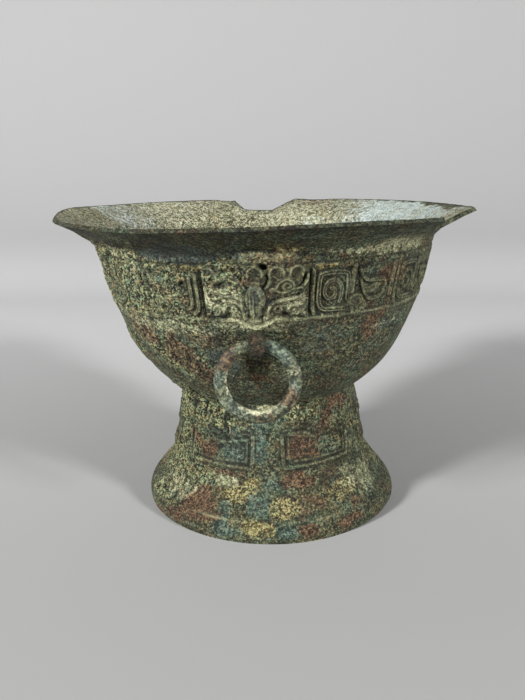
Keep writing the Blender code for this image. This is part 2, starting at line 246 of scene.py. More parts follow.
@dataclass(frozen=True)
class Profile:
    """The turned wall's outline as (radius, height) in millimetres, from the lip down."""

    lip: tuple = ((120.0, 174.0), (114.7, 171.4), (101.5, 164.6), (98.2, 161.4), (97.1, 157.3))
    band: tuple = ((96.6, 156.5), (90.5, 128.4))
    bowl: tuple = ((90.1, 127.0), (84.9, 114.0), (78.5, 100.0), (70.6, 88.0), (61.8, 79.2), (52.8, 72.4))
    bottom: tuple = ((38.0, 65.0), (20.0, 60.0), (0.0, 58.4))
    foot: tuple = ((52.4, 71.2), (54.9, 61.0), (58.5, 38.0), (60.4, 28.8))
    base: tuple = ((63.8, 22.6), (68.0, 17.0), (72.8, 12.2), (76.0, 8.0), (77.5, 3.6), (77.2, 0.0))
    lip_top: tuple = (118.8, 175.7)
    bowl_wall: float = 2.6
    foot_wall: float = 3.0
    under_top: float = 69.9
    under_bend: tuple = (38.0, 65.2)

    @staticmethod
    def inwards(path: Array, wall: float) -> Array:
        """The path moved inwards by the wall's thickness, along its normal at each point.

        Args:
            path: The points, one a row.
            wall: How far they are moved.

        Returns:
            The moved points.
        """
        along = np.gradient(path, axis=0)
        along[1:-1] = path[2:] - path[:-2]
        along /= np.linalg.norm(along, axis=1, keepdims=True)
        return path + wall * np.stack([along[:, 1], -along[:, 0]], axis=1)

    @staticmethod
    def spaced(path: Array, spacing: float, straight: bool = False) -> Array:
        """A smooth line through stations, with points at an even spacing.

        Args:
            path: The stations, one a row.
            spacing: The distance between points, in the stations' unit.
            straight: Whether the line runs straight between the stations.

        Returns:
            The points, with the first and last station kept.
        """
        if straight:
            fine = path
        else:
            padded = np.vstack([2 * path[0] - path[1], path, 2 * path[-1] - path[-2]])
            pieces = []
            for index in range(len(path) - 1):
                before, start, end, after = padded[index : index + 4]
                share = np.linspace(0, 1, 24, endpoint=False)[:, None]
                leave, reach = (end - before) / 2, (after - start) / 2
                length = np.linalg.norm(end - start)
                leave *= min(1.0, length / max(np.linalg.norm(leave), 1e-9))
                reach *= min(1.0, length / max(np.linalg.norm(reach), 1e-9))
                cube, square = share**3, share**2
                pieces.append(
                    (2 * cube - 3 * square + 1) * start
                    + (cube - 2 * square + share) * leave
                    + (-2 * cube + 3 * square) * end
                    + (cube - square) * reach
                )
            fine = np.vstack([*pieces, path[-1:]])
        run = np.concatenate([[0], np.cumsum(np.linalg.norm(np.diff(fine, axis=0), axis=1))])
        count = max(int(round(run[-1] / spacing)), 1)
        at = np.linspace(0, run[-1], count + 1)
        return np.stack([np.interp(at, run, fine[:, 0]), np.interp(at, run, fine[:, 1])], axis=1)

    def rows(self, fine: float) -> tuple[Array, Array]:
        """Every row of the closed outline, from the inside bottom over the lip to under the bowl.

        Args:
            fine: One for the full number of rows, more for fewer.

        Returns:
            The rows as (radius, height) in millimetres, and each row's Zone value.
        """
        drawn = (self.lip, self.band, self.bowl, self.bottom, self.foot, self.base)
        lip, band, bowl, bottom, foot, base = [np.array(part) for part in drawn]
        inner = self.inwards(np.vstack([lip[:4], band, bowl[1:], bottom]), self.bowl_wall)
        inner[0] = self.lip_top
        inner[-1, 0] = 0.0
        under = self.inwards(np.vstack([foot[::2], base[::2], base[-1:]]), self.foot_wall)
        under[0, 1] = self.under_top
        under[-1, 1] = 0.0
        parts = [
            (self.spaced(inner[4:][::-1], 3.0 * fine), Zone.INSIDE),
            (self.spaced(inner[:5][::-1], 1.3 * fine), Zone.LIP_TOP),
            (self.spaced(np.vstack([inner[:1], lip[:1]]), 0.8 * fine, True), Zone.LIP_TOP),
            (self.spaced(lip[:3], 1.2 * fine), Zone.LIP_UNDER),
            (self.spaced(lip[2:], 0.6 * fine), Zone.LIP_UNDER),
            (self.spaced(np.vstack([lip[-1:], band]), 0.5 * fine, True), Zone.BAND),
            (self.spaced(np.vstack([band[-1:], bowl]), 1.2 * fine), Zone.BOWL),
            (self.spaced(np.vstack([bowl[-1:], foot[:1]]), 1.2 * fine, True), Zone.FOOT),
            (self.spaced(np.vstack([foot, base]), 1.0 * fine), Zone.FOOT),
            (self.spaced(np.vstack([base[-1:], under[-1:]]), 1.5 * fine, True), Zone.UNDERFOOT),
            (self.spaced(under[::-1], 4.0 * fine), Zone.UNDERFOOT),
            (self.spaced(np.vstack([under[:1], [self.under_bend], bottom[1:]]), 5.0 * fine), Zone.UNDERFOOT),
        ]
        points, zones = [parts[0][0][:1]], [parts[0][1].value]
        for part, zone in parts:
            points.append(part[1:])
            zones += [zone.value] * (len(part) - 1)
        rows = np.vstack(points)
        rows[0, 0] = rows[-1, 0] = 0.0
        return rows, np.array(zones)

    def cone(self, height: Array) -> Array:
        """The band's straight slope as a radius at each height, followed above and below it."""
        (top_radius, top), (low_radius, low) = self.band
        return low_radius + (height - low) / (top - low) * (top_radius - low_radius)


@dataclass(frozen=True)
class Lean:
    """How the vessel stands: it leans to its left above the base, and its lip is a little bent."""

    angle: float = math.radians(-1.2)
    start: float = 12.0 * MM
    full: float = 30.0 * MM
    neck: float = 158.0 * MM
    rim: float = 175.7 * MM
    bend: float = 1.6 * MM

    @property
    def axis_x(self) -> float:
        """How far the base stands from under the middle of the lip."""
        return (self.rim - self.start) * math.sin(-self.angle)

    def lean(self, points: Array) -> Array:
        """The points after the lip's bend and the vessel's lean.

        Args:
            points: Places on the upright vessel, one a row, in metres.

        Returns:
            The same places on the leaning vessel.
        """
        x, y, z = points.T
        radius = np.maximum(np.hypot(x, y), 1e-9)
        share = np.clip((z - self.neck) / (self.rim - self.neck), 0, 1) * smooth(y / radius, -0.5, 0.2)
        up = z - self.start - self.bend * share * x / radius
        angle = self.angle * smooth(z, self.start, self.full)
        return np.stack(
            [
                x * np.cos(angle) + up * np.sin(angle) + self.axis_x,
                y,
                -x * np.sin(angle) + up * np.cos(angle) + self.start,
            ],
            axis=1,
        )

    def upright(self, points: Array) -> Array:
        """Where these points lie on the upright vessel, to within a tenth of a millimetre.

        Args:
            points: Places on the leaning vessel, one a row, in metres.

        Returns:
            The same places upright.
        """
        x, y, z = points.T
        x = x - self.axis_x
        up = z - self.start
        height = z
        for _ in range(3):
            angle = self.angle * smooth(height, self.start, self.full)
            height = x * np.sin(angle) + up * np.cos(angle) + self.start
        across = x * np.cos(angle) - up * np.sin(angle)
        return np.stack([across, y, height], axis=1)


PROFILE = Profile()
LEAN = Lean()
BAND_SCALE = 94.1
PIVOT_RADIUS = 91.0
PIVOT_HEIGHT = 117.2


class Relief:
    """Relief drawn with strokes over a wall, in millimetres along it and up it.

    Beside the height it keeps its dark marks, grime in the hollows and painted shade, and its pale marks,
    rubbed metal and painted highlight.
    """

    def __init__(self, along: Array, up: Array) -> None:
        """Starts flat at these places."""
        self.along = along
        self.up = up
        self.height = np.zeros_like(along)
        self.grime_and_shade = np.zeros_like(along)
        self.rub_and_highlight = np.zeros_like(along)

    def _near(self, path: Array, reach: float) -> tuple[Array, Array]:
        """The places within reach of a path's bounds, and how far each is from the path.

        Args:
            path: The points of a line as (along, up).
            reach: How far from it places still count.

        Returns:
            The numbers of the places near it, and how far each is from the line.
        """
        low, high = path.min(0) - reach, path.max(0) + reach
        inside = (self.along > low[0]) & (self.along < high[0]) & (self.up > low[1]) & (self.up < high[1])
        chosen = np.nonzero(inside)[0]
        places = np.stack([self.along[chosen], self.up[chosen]], axis=1)
        best = np.full(len(chosen), 1e9)
        for start, end in zip(path, path[1:]):
            run = end - start
            share = np.clip((places - start) @ run / max(run @ run, 1e-9), 0, 1)
            gap = places - start - share[:, None] * run
            best = np.minimum(best, np.einsum("ij,ij->i", gap, gap))
        return chosen, np.sqrt(best)

    def _mark(self, chosen: Array, grime_and_shade: Array | float, rub_and_highlight: Array | float) -> None:
        """Keeps the stronger of what is there and the new dark marks (grime and painted shade) and pale marks
        (wear and painted highlight).
        """
        self.grime_and_shade[chosen] = np.maximum(self.grime_and_shade[chosen], grime_and_shade)
        self.rub_and_highlight[chosen] = np.maximum(self.rub_and_highlight[chosen], rub_and_highlight)

    def ribbon(
        self, path: Path, width: float, rise: float, incised: float = 0.0, closed: bool = False
    ) -> None:
        """Raises a flat ribbon along a path, with an incised middle line if wanted.

        Args:
            path: Its middle line as (along, up).
            width: Its width.
            rise: Its height.
            incised: How deep its middle line is cut.
            closed: Whether its ends join.
        """
        chosen, distance = self._near(curve(path, closed), 1.3 * width)
        shape = rise * (1 - smooth(distance, 0.3 * width, 0.55 * width))
        self.height[chosen] = np.maximum(self.height[chosen], shape)
        line = hill(distance, 0.0, 0.32) * (incised > 0)
        self.height[chosen] -= incised * line
        # Painted shade along the ribbon's flanks and its cut line, painted highlight along its top edges.
        flank = hill(distance, 0.62 * width, 0.42)
        self._mark(chosen, np.maximum(flank, 0.7 * line), 0.75 * hill(distance, 0.36 * width, 0.3))

    def ridge(self, path: Path, width: float, rise: float, closed: bool = False) -> None:
        """Adds a rounded ridge along a path to what is there.

        Args:
            path: Its middle line as (along, up).
            width: Its width.
            rise: Its height.
            closed: Whether its ends join.
        """
        chosen, distance = self._near(curve(path, closed), 1.5 * width)
        self.height[chosen] += rise * hill(distance, 0.0, 0.5 * width)
        # Painted shade at the ridge's foot, painted highlight on its crest.
        self._mark(chosen, 0.45 * hill(distance, 0.85 * width, 0.4), 0.7 * hill(distance, 0.0, 0.36 * width))

    def groove(self, path: Path, width: float, depth: float, closed: bool = False) -> None:
        """Cuts a rounded groove along a path.

        Args:
            path: Its middle line as (along, up).
            width: Its width.
            depth: Its depth.
            closed: Whether its ends join.
        """
        chosen, distance = self._near(curve(path, closed), 1.5 * width)
        shape = hill(distance, 0.0, 0.5 * width)
        self.height[chosen] -= depth * shape
        # The groove's dark is grime and painted shade.
        self._mark(chosen, min(0.55 + 0.5 * depth, 1.0) * shape, 0.0)

    def mound(
        self, middle: tuple[float, float], radii: tuple[float, float], rise: float, tilt: float = 0.0
    ) -> None:
        """Adds a blunt oval mound, or with a negative rise a dish.

        Args:
            middle: Its middle as (along, up).
            radii: Half its length and half its width.
            rise: Its height, or less than none for a dish.
            tilt: How far its length turns from along towards up, in degrees.
        """
        cos, sin = math.cos(math.radians(tilt)), math.sin(math.radians(tilt))
        across, above = self.along - middle[0], self.up - middle[1]
        far = np.hypot((across * cos + above * sin) / radii[0], (above * cos - across * sin) / radii[1])
        shape = 1 - smooth(far, 0.45, 1.15)
        self.height += rise * shape
        # A dish gets grime and painted shade; a mound gets painted shade round its foot and a painted
        # highlight on its shoulder.
        if rise < 0:
            self.grime_and_shade = np.maximum(self.grime_and_shade, min(0.5 - 0.4 * rise, 1.0) * shape)
        else:
            self.grime_and_shade = np.maximum(self.grime_and_shade, 0.5 * hill(far, 1.2, 0.22))
            self.rub_and_highlight = np.maximum(self.rub_and_highlight, 0.4 * hill(far, 0.75, 0.25))

    def over(self, other: "Relief", share: Array) -> None:
        """Adds another relief, in the given share at each place.

        Args:
            other: The relief to add.
            share: How much of it shows at each place.
        """
        self.height += share * other.height
        self.grime_and_shade = np.maximum(self.grime_and_shade, share * other.grime_and_shade)
        self.rub_and_highlight = np.maximum(self.rub_and_highlight, share * other.rub_and_highlight)


@dataclass(frozen=True)
class MaskRelief:
    """The animal mask: its plate, its outline and what is drawn on it."""

    half_width: float = 26.0
    top: float = 164.5
    jaw: float = 125.3
    lowest: float = 122.0
    highest: float = 167.0
    side_groove: tuple = (129.5, 132, 152, 156)

    def edges(self, along: Array, worn: bool) -> tuple[Array, Array]:
        """The plate's lowest and highest height at each distance from its middle.

        Args:
            along: Millimetres along the wall from the mask's middle.
            worn: Whether the upper left corner is lost.

        Returns:
            The lowest and the highest height.
        """
        out = np.abs(along)
        low = self.jaw + 6.4 * smooth(out, 1, 14) - 2.0 * smooth(out, 19, 26)
        high = self.top - 9.0 * smooth(out, 17, 27)
        if worn:
            high = high - 6.0 * smooth(-along, 6, 9) * (1 - smooth(out, 17, 27))
        return low, high

    def plate(self, along: Array, up: Array) -> Array:
        """How far the plate stands out of the band's slope, before it is cut to its outline.

        Args:
            along: Millimetres along the wall from the mask's middle.
            up: Heights in millimetres.

        Returns:
            Millimetres out of the slope.
        """
        out = np.abs(along)
        lift = 0.9 + 2.9 * np.maximum(1 - (out / 26) ** 2, 0)
        lift += 1.5 * smooth(up, 152, 163) * (1 - smooth(out, 16, 26))
        lift += 3.4 * np.exp(-((out / 8) ** 2) - ((up - 129.5) / 8) ** 2)
        return lift

    def features(self, along: Array, up: Array, plain: bool) -> Relief:
        """Eyes, cheeks, ears, crown, nose and jaw.

        Args:
            along: Millimetres along the wall from the mask's middle.
            up: Heights in millimetres.
            plain: Whether the crown, the corrosion and the finest lines are left out.

        Returns:
            The relief above the plate.
        """
        drawn = Relief(np.abs(along), up)
        self._eye(drawn)
        self._cheek(drawn)
        self._snout(drawn)
        if plain:
            return drawn
        self._crown(drawn)
        single = Relief(along, up)
        single.ridge([(-2.6, 145.4), (-2.3, 140.0), (-2.1, 131.2)], 0.8, 0.7)
        single.ridge([(-1.2, 145.0), (-1.0, 140.0), (-0.9, 131.4)], 0.7, 0.5)
        for line in (0.4, 1.8, 3.2):
            single.groove([(line, 136.6), (line + 0.2, 131.0)], 0.6, 0.3)
        single.mound((3.9, 156.1), (2.3, 1.6), -4.0, -28)
        # Painted shadow: the groove along the mask's top is darkened as the shade under the lip.
        single.groove([(-8.4, 163.6), (-3.0, 164.2), (3.0, 164.4), (9.0, 163.4)], 1.5, 1.6)
        self._corroded(single)
        # A painted highlight along the jaw.
        jaw_highlight = np.exp(-((along / 12) ** 2) - ((up - 128.4) / 2.8) ** 2)
        single.rub_and_highlight = np.maximum(single.rub_and_highlight, 0.8 * jaw_highlight)
        single.over(drawn, 1 - 0.75 * smooth(-along, 3.0, 8.0) * smooth(up, 137, 146))
        return single

    @staticmethod
    def _eye(drawn: Relief) -> None:
        """The eye in its two lids, with its inner corner and the line over it."""
        upper_lid = [(9.4, 145.4), (10.4, 147.6), (12.6, 149.4), (15.4, 149.5), (17.4, 148.0), (17.6, 145.8)]
        drawn.ridge(upper_lid, 1.2, 1.2)
        drawn.ridge([(9.0, 144.4), (11.6, 143.2), (14.4, 143.6), (17.0, 144.9), (20.8, 145.6)], 1.2, 1.2)
        drawn.ridge([(10.2, 149.4), (13.4, 150.9), (17.0, 150.2)], 0.9, 0.5)
        drawn.mound((14.1, 146.5), (2.6, 2.1), 1.3)
        drawn.mound((14.6, 146.6), (1.0, 1.0), -0.8)
        drawn.mound((7.9, 144.6), (1.5, 1.4), 1.1)

    @staticmethod
    def _cheek(drawn: Relief) -> None:
        """The cheek's curls under the eye."""
        drawn.groove([(4.4, 137.2), (6.0, 139.2), (9.4, 140.5), (14.0, 141.2), (20.6, 142.4)], 1.3, 1.3)
        curl = [(20.8, 140.9), (13.0, 139.5), (8.8, 138.8), (6.6, 137.2), (5.6, 134.8), (5.0, 131.0)]
        drawn.ridge(curl, 1.3, 1.3)
        drawn.mound((10.2, 135.6), (2.4, 2.1), 1.2)
        drawn.mound((10.2, 135.6), (0.9, 0.8), -0.9)
        drawn.ridge([(15.2, 135.4), (16.8, 137.3), (19.6, 136.8), (20.8, 134.2), (18.8, 131.7)], 1.3, 1.1)
        drawn.mound((18.0, 134.2), (1.5, 1.5), 1.0)
        drawn.mound((13.8, 132.0), (3.2, 1.7), -2.0, -35)

    @staticmethod
    def _snout(drawn: Relief) -> None:
        """The jaw's edge, the nose and the nostrils."""
        drawn.ridge([(0.0, 126.4), (4.0, 127.2), (8.0, 129.0), (12.8, 131.4)], 1.9, 1.1)
        drawn.groove([(0.0, 129.6), (4.4, 130.0), (8.8, 131.8)], 1.1, 0.8)
        drawn.ribbon([(0.0, 146.4), (2.0, 145.4), (3.6, 141.4), (2.9, 137.4), (0.0, 136.0)], 2.6, 1.2)
        drawn.ribbon([(0.0, 147.0), (0.0, 131.0)], 5.0, 1.2)
        drawn.mound((2.4, 132.4), (1.3, 0.9), -0.9, 20)

    @staticmethod
    def _corroded(drawn: Relief) -> None:
        """The pits and remains of the corroded left half, which has lost most of its lines."""
        drawn.mound((-15.6, 147.2), (4.2, 1.9), -1.9, 12)
        for along, up, long, high in (
            (-21.6, 153.2, 2.2, 1.9), (-17.8, 155.4, 1.6, 1.2), (-13.4, 154.2, 2.3, 1.3),
            (-9.2, 154.8, 1.7, 1.5), (-20.4, 149.8, 1.5, 1.1), (-6.6, 150.6, 1.0, 2.2),
            (-11.6, 143.0, 1.5, 0.8), (-21.4, 141.6, 1.3, 1.0), (-17.0, 139.4, 2.2, 1.2),
            (-12.4, 136.0, 1.3, 1.0), (-21.0, 133.4, 1.2, 1.4),
        ):
            drawn.mound((along, up), (long, high), -1.1, 15)
        drawn.ridge([(-19.2, 148.6), (-15.4, 150.7), (-11.4, 150.4), (-8.6, 148.2)], 1.3, 1.0)
        drawn.ridge([(-21.0, 144.4), (-16.0, 143.8), (-11.0, 142.6), (-7.0, 140.6)], 1.3, 1.0)
        drawn.ridge([(-14.0, 141.6), (-9.6, 141.0), (-6.4, 139.4), (-4.6, 137.6)], 1.3, 1.1)

    @staticmethod
    def _crown(drawn: Relief) -> None:
        """The scalloped crown over the brow, and the ear beside each eye."""
        for middle, reach in ((0.0, 3.3), (9.8, 3.3), (19.0, 3.2)):
            arch = []
            for degrees in range(-115, 116, 23):
                turn = math.radians(degrees)
                arch.append((middle + reach * math.sin(turn), 152.6 + 3.4 * math.cos(turn)))
            drawn.ridge(arch, 1.2, 0.9)
            drawn.mound((middle, 152.6), (1.9, 1.9), -0.6)
            drawn.mound((middle, 152.5), (0.8, 0.8), 0.5)
        drawn.ridge([(6.9, 151.4), (6.9, 149.2), (6.0, 147.2), (4.6, 145.6)], 1.0, 1.1)
        drawn.groove([(5.4, 152.2), (5.8, 150.0), (5.0, 147.8), (3.6, 146.2)], 1.0, 1.2)
        drawn.ridge([(24.4, 151.4), (24.3, 149.0), (23.2, 147.1), (21.4, 145.4)], 1.2, 1.3)
        drawn.groove([(22.8, 151.8), (22.6, 149.4), (21.7, 147.6), (20.3, 146.2)], 1.2, 1.4)
        drawn.mound((0.0, 160.6), (7.0, 2.6), 0.5)
        drawn.mound((13.5, 160.2), (6.0, 2.4), 0.6)


@dataclass(frozen=True)
class BandRelief:
    """One dragon of the band beside a mask: a squared coil, a ridge, an eye and a shield."""

    unit_length: float = 51.2
    sill: float = 129.4
    head: float = 155.6
    frame_rise: float = 0.8
    coil_rise: float = 1.1

    def draw(self, drawn: Relief, shift: float, plain: bool) -> None:
        """Draws the unit on the relief.

        Args:
            drawn: The relief, with its zero at the mask's middle.
            shift: How far the unit is moved away from the mask.
            plain: Whether the incised lines and small forms are left out.
        """
        incised = 0.0 if plain else 0.5

        def moved(path: Path) -> Path:
            """The path moved away from the mask."""
            return [(along + shift, up) for along, up in path]

        outer = [(45.6, 137.6), (45.6, 149.4), (43.4, 151.4), (31.8, 151.4), (30.2, 149.4), (30.2, 137.4)]
        outer += [(31.8, 133.8), (35.0, 132.9), (44.4, 132.7)]
        drawn.ribbon(moved(outer), 2.3, self.coil_rise, incised)
        coil = [(41.4, 136.6), (42.6, 140.8), (42.0, 145.2), (38.9, 147.7), (35.3, 147.5), (33.1, 145.0)]
        coil += [(33.1, 141.0), (34.8, 138.5), (37.7, 138.5), (39.2, 140.6), (38.6, 143.2), (36.6, 143.6)]
        drawn.ribbon(moved(coil), 2.0, self.coil_rise, 0.8 * incised)
        post = [(27.2, 152.6), (27.1, 142.0), (27.2, 135.0), (28.4, 131.6)]
        drawn.ribbon(moved(post), 2.1, self.frame_rise)
        drawn.ribbon(moved([(48.3, 153.6), (47.9, 148.0), (47.9, 141.2)]), 2.7, self.coil_rise)
        shield = [(51.6, 152.6), (52.4, 149.4), (54.2, 147.0), (57.0, 145.6), (62.0, 145.2), (68.6, 145.2)]
        shield += [(69.2, 141.6), (67.8, 137.4), (64.4, 135.9), (58.8, 135.8), (56.4, 138.4), (53.2, 144.0)]
        drawn.ribbon(moved(shield), 1.8, self.coil_rise + 0.1, 0.0, closed=True)
        drawn.ribbon(moved([(74.9, 152.4), (74.4, 146.0), (74.6, 137.0)]), 3.2, self.frame_rise)
        if plain:
            return
        drawn.mound((61.4 + shift, 141.2), (4.6, 1.9), 0.9, 18)
        drawn.mound((51.3 + shift, 136.3), (4.6, 3.2), 1.5)
        eye = [
            (51.3 + shift + 3.1 * math.cos(turn * 0.7), 136.3 + 2.0 * math.sin(turn * 0.7))
            for turn in range(9)
        ]
        drawn.groove(eye, 0.8, 0.6, closed=True)
        drawn.groove(moved([(70.5, 146.4), (71.3, 142.0), (70.5, 138.2), (68.2, 135.2)]), 1.4, 1.0)
        drawn.groove(moved([(50.4, 152.8), (51.0, 149.8), (53.0, 146.6)]), 1.1, 0.9)
        drawn.groove(moved([(54.4, 149.0), (57.4, 147.4), (68.6, 147.0)]), 1.1, 0.8)
        drawn.groove(moved([(59.0, 133.0), (63.0, 132.3), (67.6, 132.6)]), 0.8, 0.5)

    def draw_worn(self, drawn: Relief) -> None:
        """Draws what is left of the unit under the crust at the front left."""
        for line in (26.8, 30.5, 33.9):
            bend = 0.9 * (line - 26.8)
            path = [(line, 151.4 - 0.3 * bend), (line, 140.0), (line + 0.2, 134.6 + 0.25 * bend)]
            path += [(line + 1.8, 131.8 + 0.3 * bend), (line + 3.6, 131.0 + 0.35 * bend)]
            drawn.groove(path, 1.2, 1.1)
        drawn.ribbon([(28.7, 151.4), (28.7, 137.0), (29.6, 133.2), (31.6, 132.0)], 2.2, 0.9)
        drawn.ribbon([(32.2, 149.6), (32.2, 138.0), (33.0, 135.0), (35.4, 134.2)], 2.0, 0.9)
        drawn.mound((36.4, 146.2), (1.8, 2.4), -1.6)
        drawn.mound((50.0, 134.4), (4.4, 3.7), 1.5)
        drawn.mound((49.2, 134.3), (1.9, 1.9), -1.7)
        drawn.ridge([(45.2, 136.0), (47.6, 138.8), (52.0, 138.8), (54.8, 136.2)], 1.2, 0.7)
        drawn.groove([(58.2, 151.0), (57.8, 144.0), (58.4, 137.4)], 1.5, 1.2)
        drawn.groove([(62.2, 150.6), (61.6, 144.0), (62.4, 136.6)], 1.3, 1.0)
        drawn.groove([(47.4, 143.6), (49.6, 141.2), (54.0, 140.8)], 1.1, 0.7)
        drawn.mound((70.0, 146.6), (1.6, 2.0), -1.3)
        drawn.mound((73.8, 141.8), (1.8, 1.4), -1.3)


@dataclass(frozen=True)
class FootRelief:
    """Framed panels round the foot, each open at the top under a scrolled line."""

    count: int = 6
    first: float = -1.6
    middle: float = 46.0
    radius: float = 57.2
    rise: float = 0.75
    low: float = -9.8
    high: float = 8.6
    inset: float = 3.4
    lower_scroll: tuple = (
        (-0.92, 8.6), (-0.55, 9.8), (-0.3, 9.2), (-0.14, 6.4),
        (-0.02, 4.6), (0.16, 4.2), (0.44, 5.0), (0.9, 6.6),
    )
    upper_scroll: tuple = (
        (-0.9, 11.6), (-0.5, 12.8), (-0.16, 11.8), (0.0, 8.4), (0.2, 7.6), (0.5, 8.4), (0.9, 9.8)
    )

    @staticmethod
    def _frame(half: float, low: float, high: float, across: float, up: float) -> Path:
        """A panel's frame, open at the top, with its lower corners cut by so much across and up.

        Args:
            half: Half the panel's width.
            low: Its lower edge.
            high: Its upper edge.
            across: How far across the corners are cut.
            up: How far up the corners are cut.

        Returns:
            The frame's path.
        """
        return [
            (-half, high), (-half, low + up), (-half + across, low),
            (half - across, low), (half, low + up), (half, high),
        ]

    def drawn(self, azimuth: Array, up: Array) -> Relief:
        """The panels' relief on the upright foot.

        Args:
            azimuth: Radians from -Y towards +X.
            up: Heights in millimetres.

        Returns:
            The relief above the wall.
        """
        pitch = math.tau / self.count
        turned = (azimuth - math.radians(self.first)) % pitch - pitch / 2
        drawn = Relief(turned * self.radius, up - self.middle)
        half = self.radius * (pitch / 2 - math.radians(8.4))
        outer = self._frame(half, self.low, self.high, 1.8, 1.6)
        drawn.ribbon(outer, 2.4, self.rise)
        inner = self._frame(half - self.inset, self.low + self.inset, self.high - 2, 1.4, 1.0)
        drawn.ribbon(inner, 1.5, 0.7 * self.rise)
        for scroll, width, share in ((self.lower_scroll, 1.9, 1.0), (self.upper_scroll, 1.3, 0.7)):
            drawn.ribbon([(half * out, rise) for out, rise in scroll], width, share * self.rise)
        return drawn


@dataclass(frozen=True)
class Patch:
    """A soft-edged spot of a coat: its middle and half sizes in degrees round and millimetres up."""

    azimuth: float
    height: float
    half_azimuth: float
    half_height: float
    strength: float = 1.0
    slant: float = 0.0


def patches(*rows: tuple[float, ...]) -> tuple[Patch, ...]:
    """Patches from rows of their values, in the order of the fields."""
    return tuple(Patch(*row) for row in rows)


def spread(laid: tuple[Patch, ...], azimuth: Array, height: Array, frayed: Array) -> Array:
    """How much of a coat lies at each place.

    Args:
        laid: Where the coat lies.
        azimuth: Degrees from -Y towards +X.
        height: Millimetres above the table.
        frayed: Three noises a place, which push the patches' edges about.

    Returns:
        None to one at each place.
    """
    total = np.zeros_like(azimuth)
    for patch in laid:
        across = wrap_degrees(azimuth - patch.azimuth)
        above = height - patch.height - patch.slant * across
        aside = across / patch.half_azimuth + 0.55 * frayed[0]
        upwards = above / patch.half_height + 0.55 * frayed[1]
        far = np.hypot(aside, upwards) + 0.3 * frayed[2]
        total = np.maximum(total, patch.strength * (1 - smooth(far, 0.5, 1.5)))
    return total


# A row is a patch: azimuth, height, half sizes, then strength and slant if not one and none.
CRUST_PATCHES = patches(
    (-55, 141.8, 18.2, 20.6), (-30.6, 151.2, 8.4, 6.2, 0.9), (-39.4, 137.1, 16.4, 10, 0.85),
    (-37, 109.2, 16.2, 12.1, 0.85, -0.5), (-69.4, 105.6, 12.6, 11.8, 0.7), (-23.8, 123.2, 5.2, 9, 0.6),
    (-47.4, 64.5, 29.2, 16.5), (-65.8, 31, 25.4, 11.9, 0.9), (-64.6, 12.4, 13.2, 4.8, 0.7),
    (18.2, 67.2, 11.4, 7.9, 0.7), (55.4, 48, 24.6, 16.3, 0.45), (-11.4, 150, 6.4, 8.7, 0.8),
    (-13.4, 137.5, 5.6, 6.1, 0.5), (-1.4, 160.4, 9, 4, 0.45), (-43, 167.0, 9, 5.5, 0.6),
    (36.2, 19.5, 9.4, 4, 0.3), (42.2, 110.7, 9.8, 12.2, 0.3), (-25.4, 98.1, 6.6, 6.9, 0.5),
    (-15.8, 21.8, 7.2, 4.3, 0.35), (6.2, 16.1, 8.2, 4.2, 0.35), (-53, 128.9, 14.4, 10.7, 0.6),
    (-78, 150, 22, 22, 1.0), (112, 140, 30, 20, 0.5), (150, 96, 30, 26, 0.5), (-140, 120, 34, 26, 0.7),
    (-120, 30, 30, 22, 0.7), (170, 30, 34, 18, 0.6), (95, 22, 20, 12, 0.5),
)
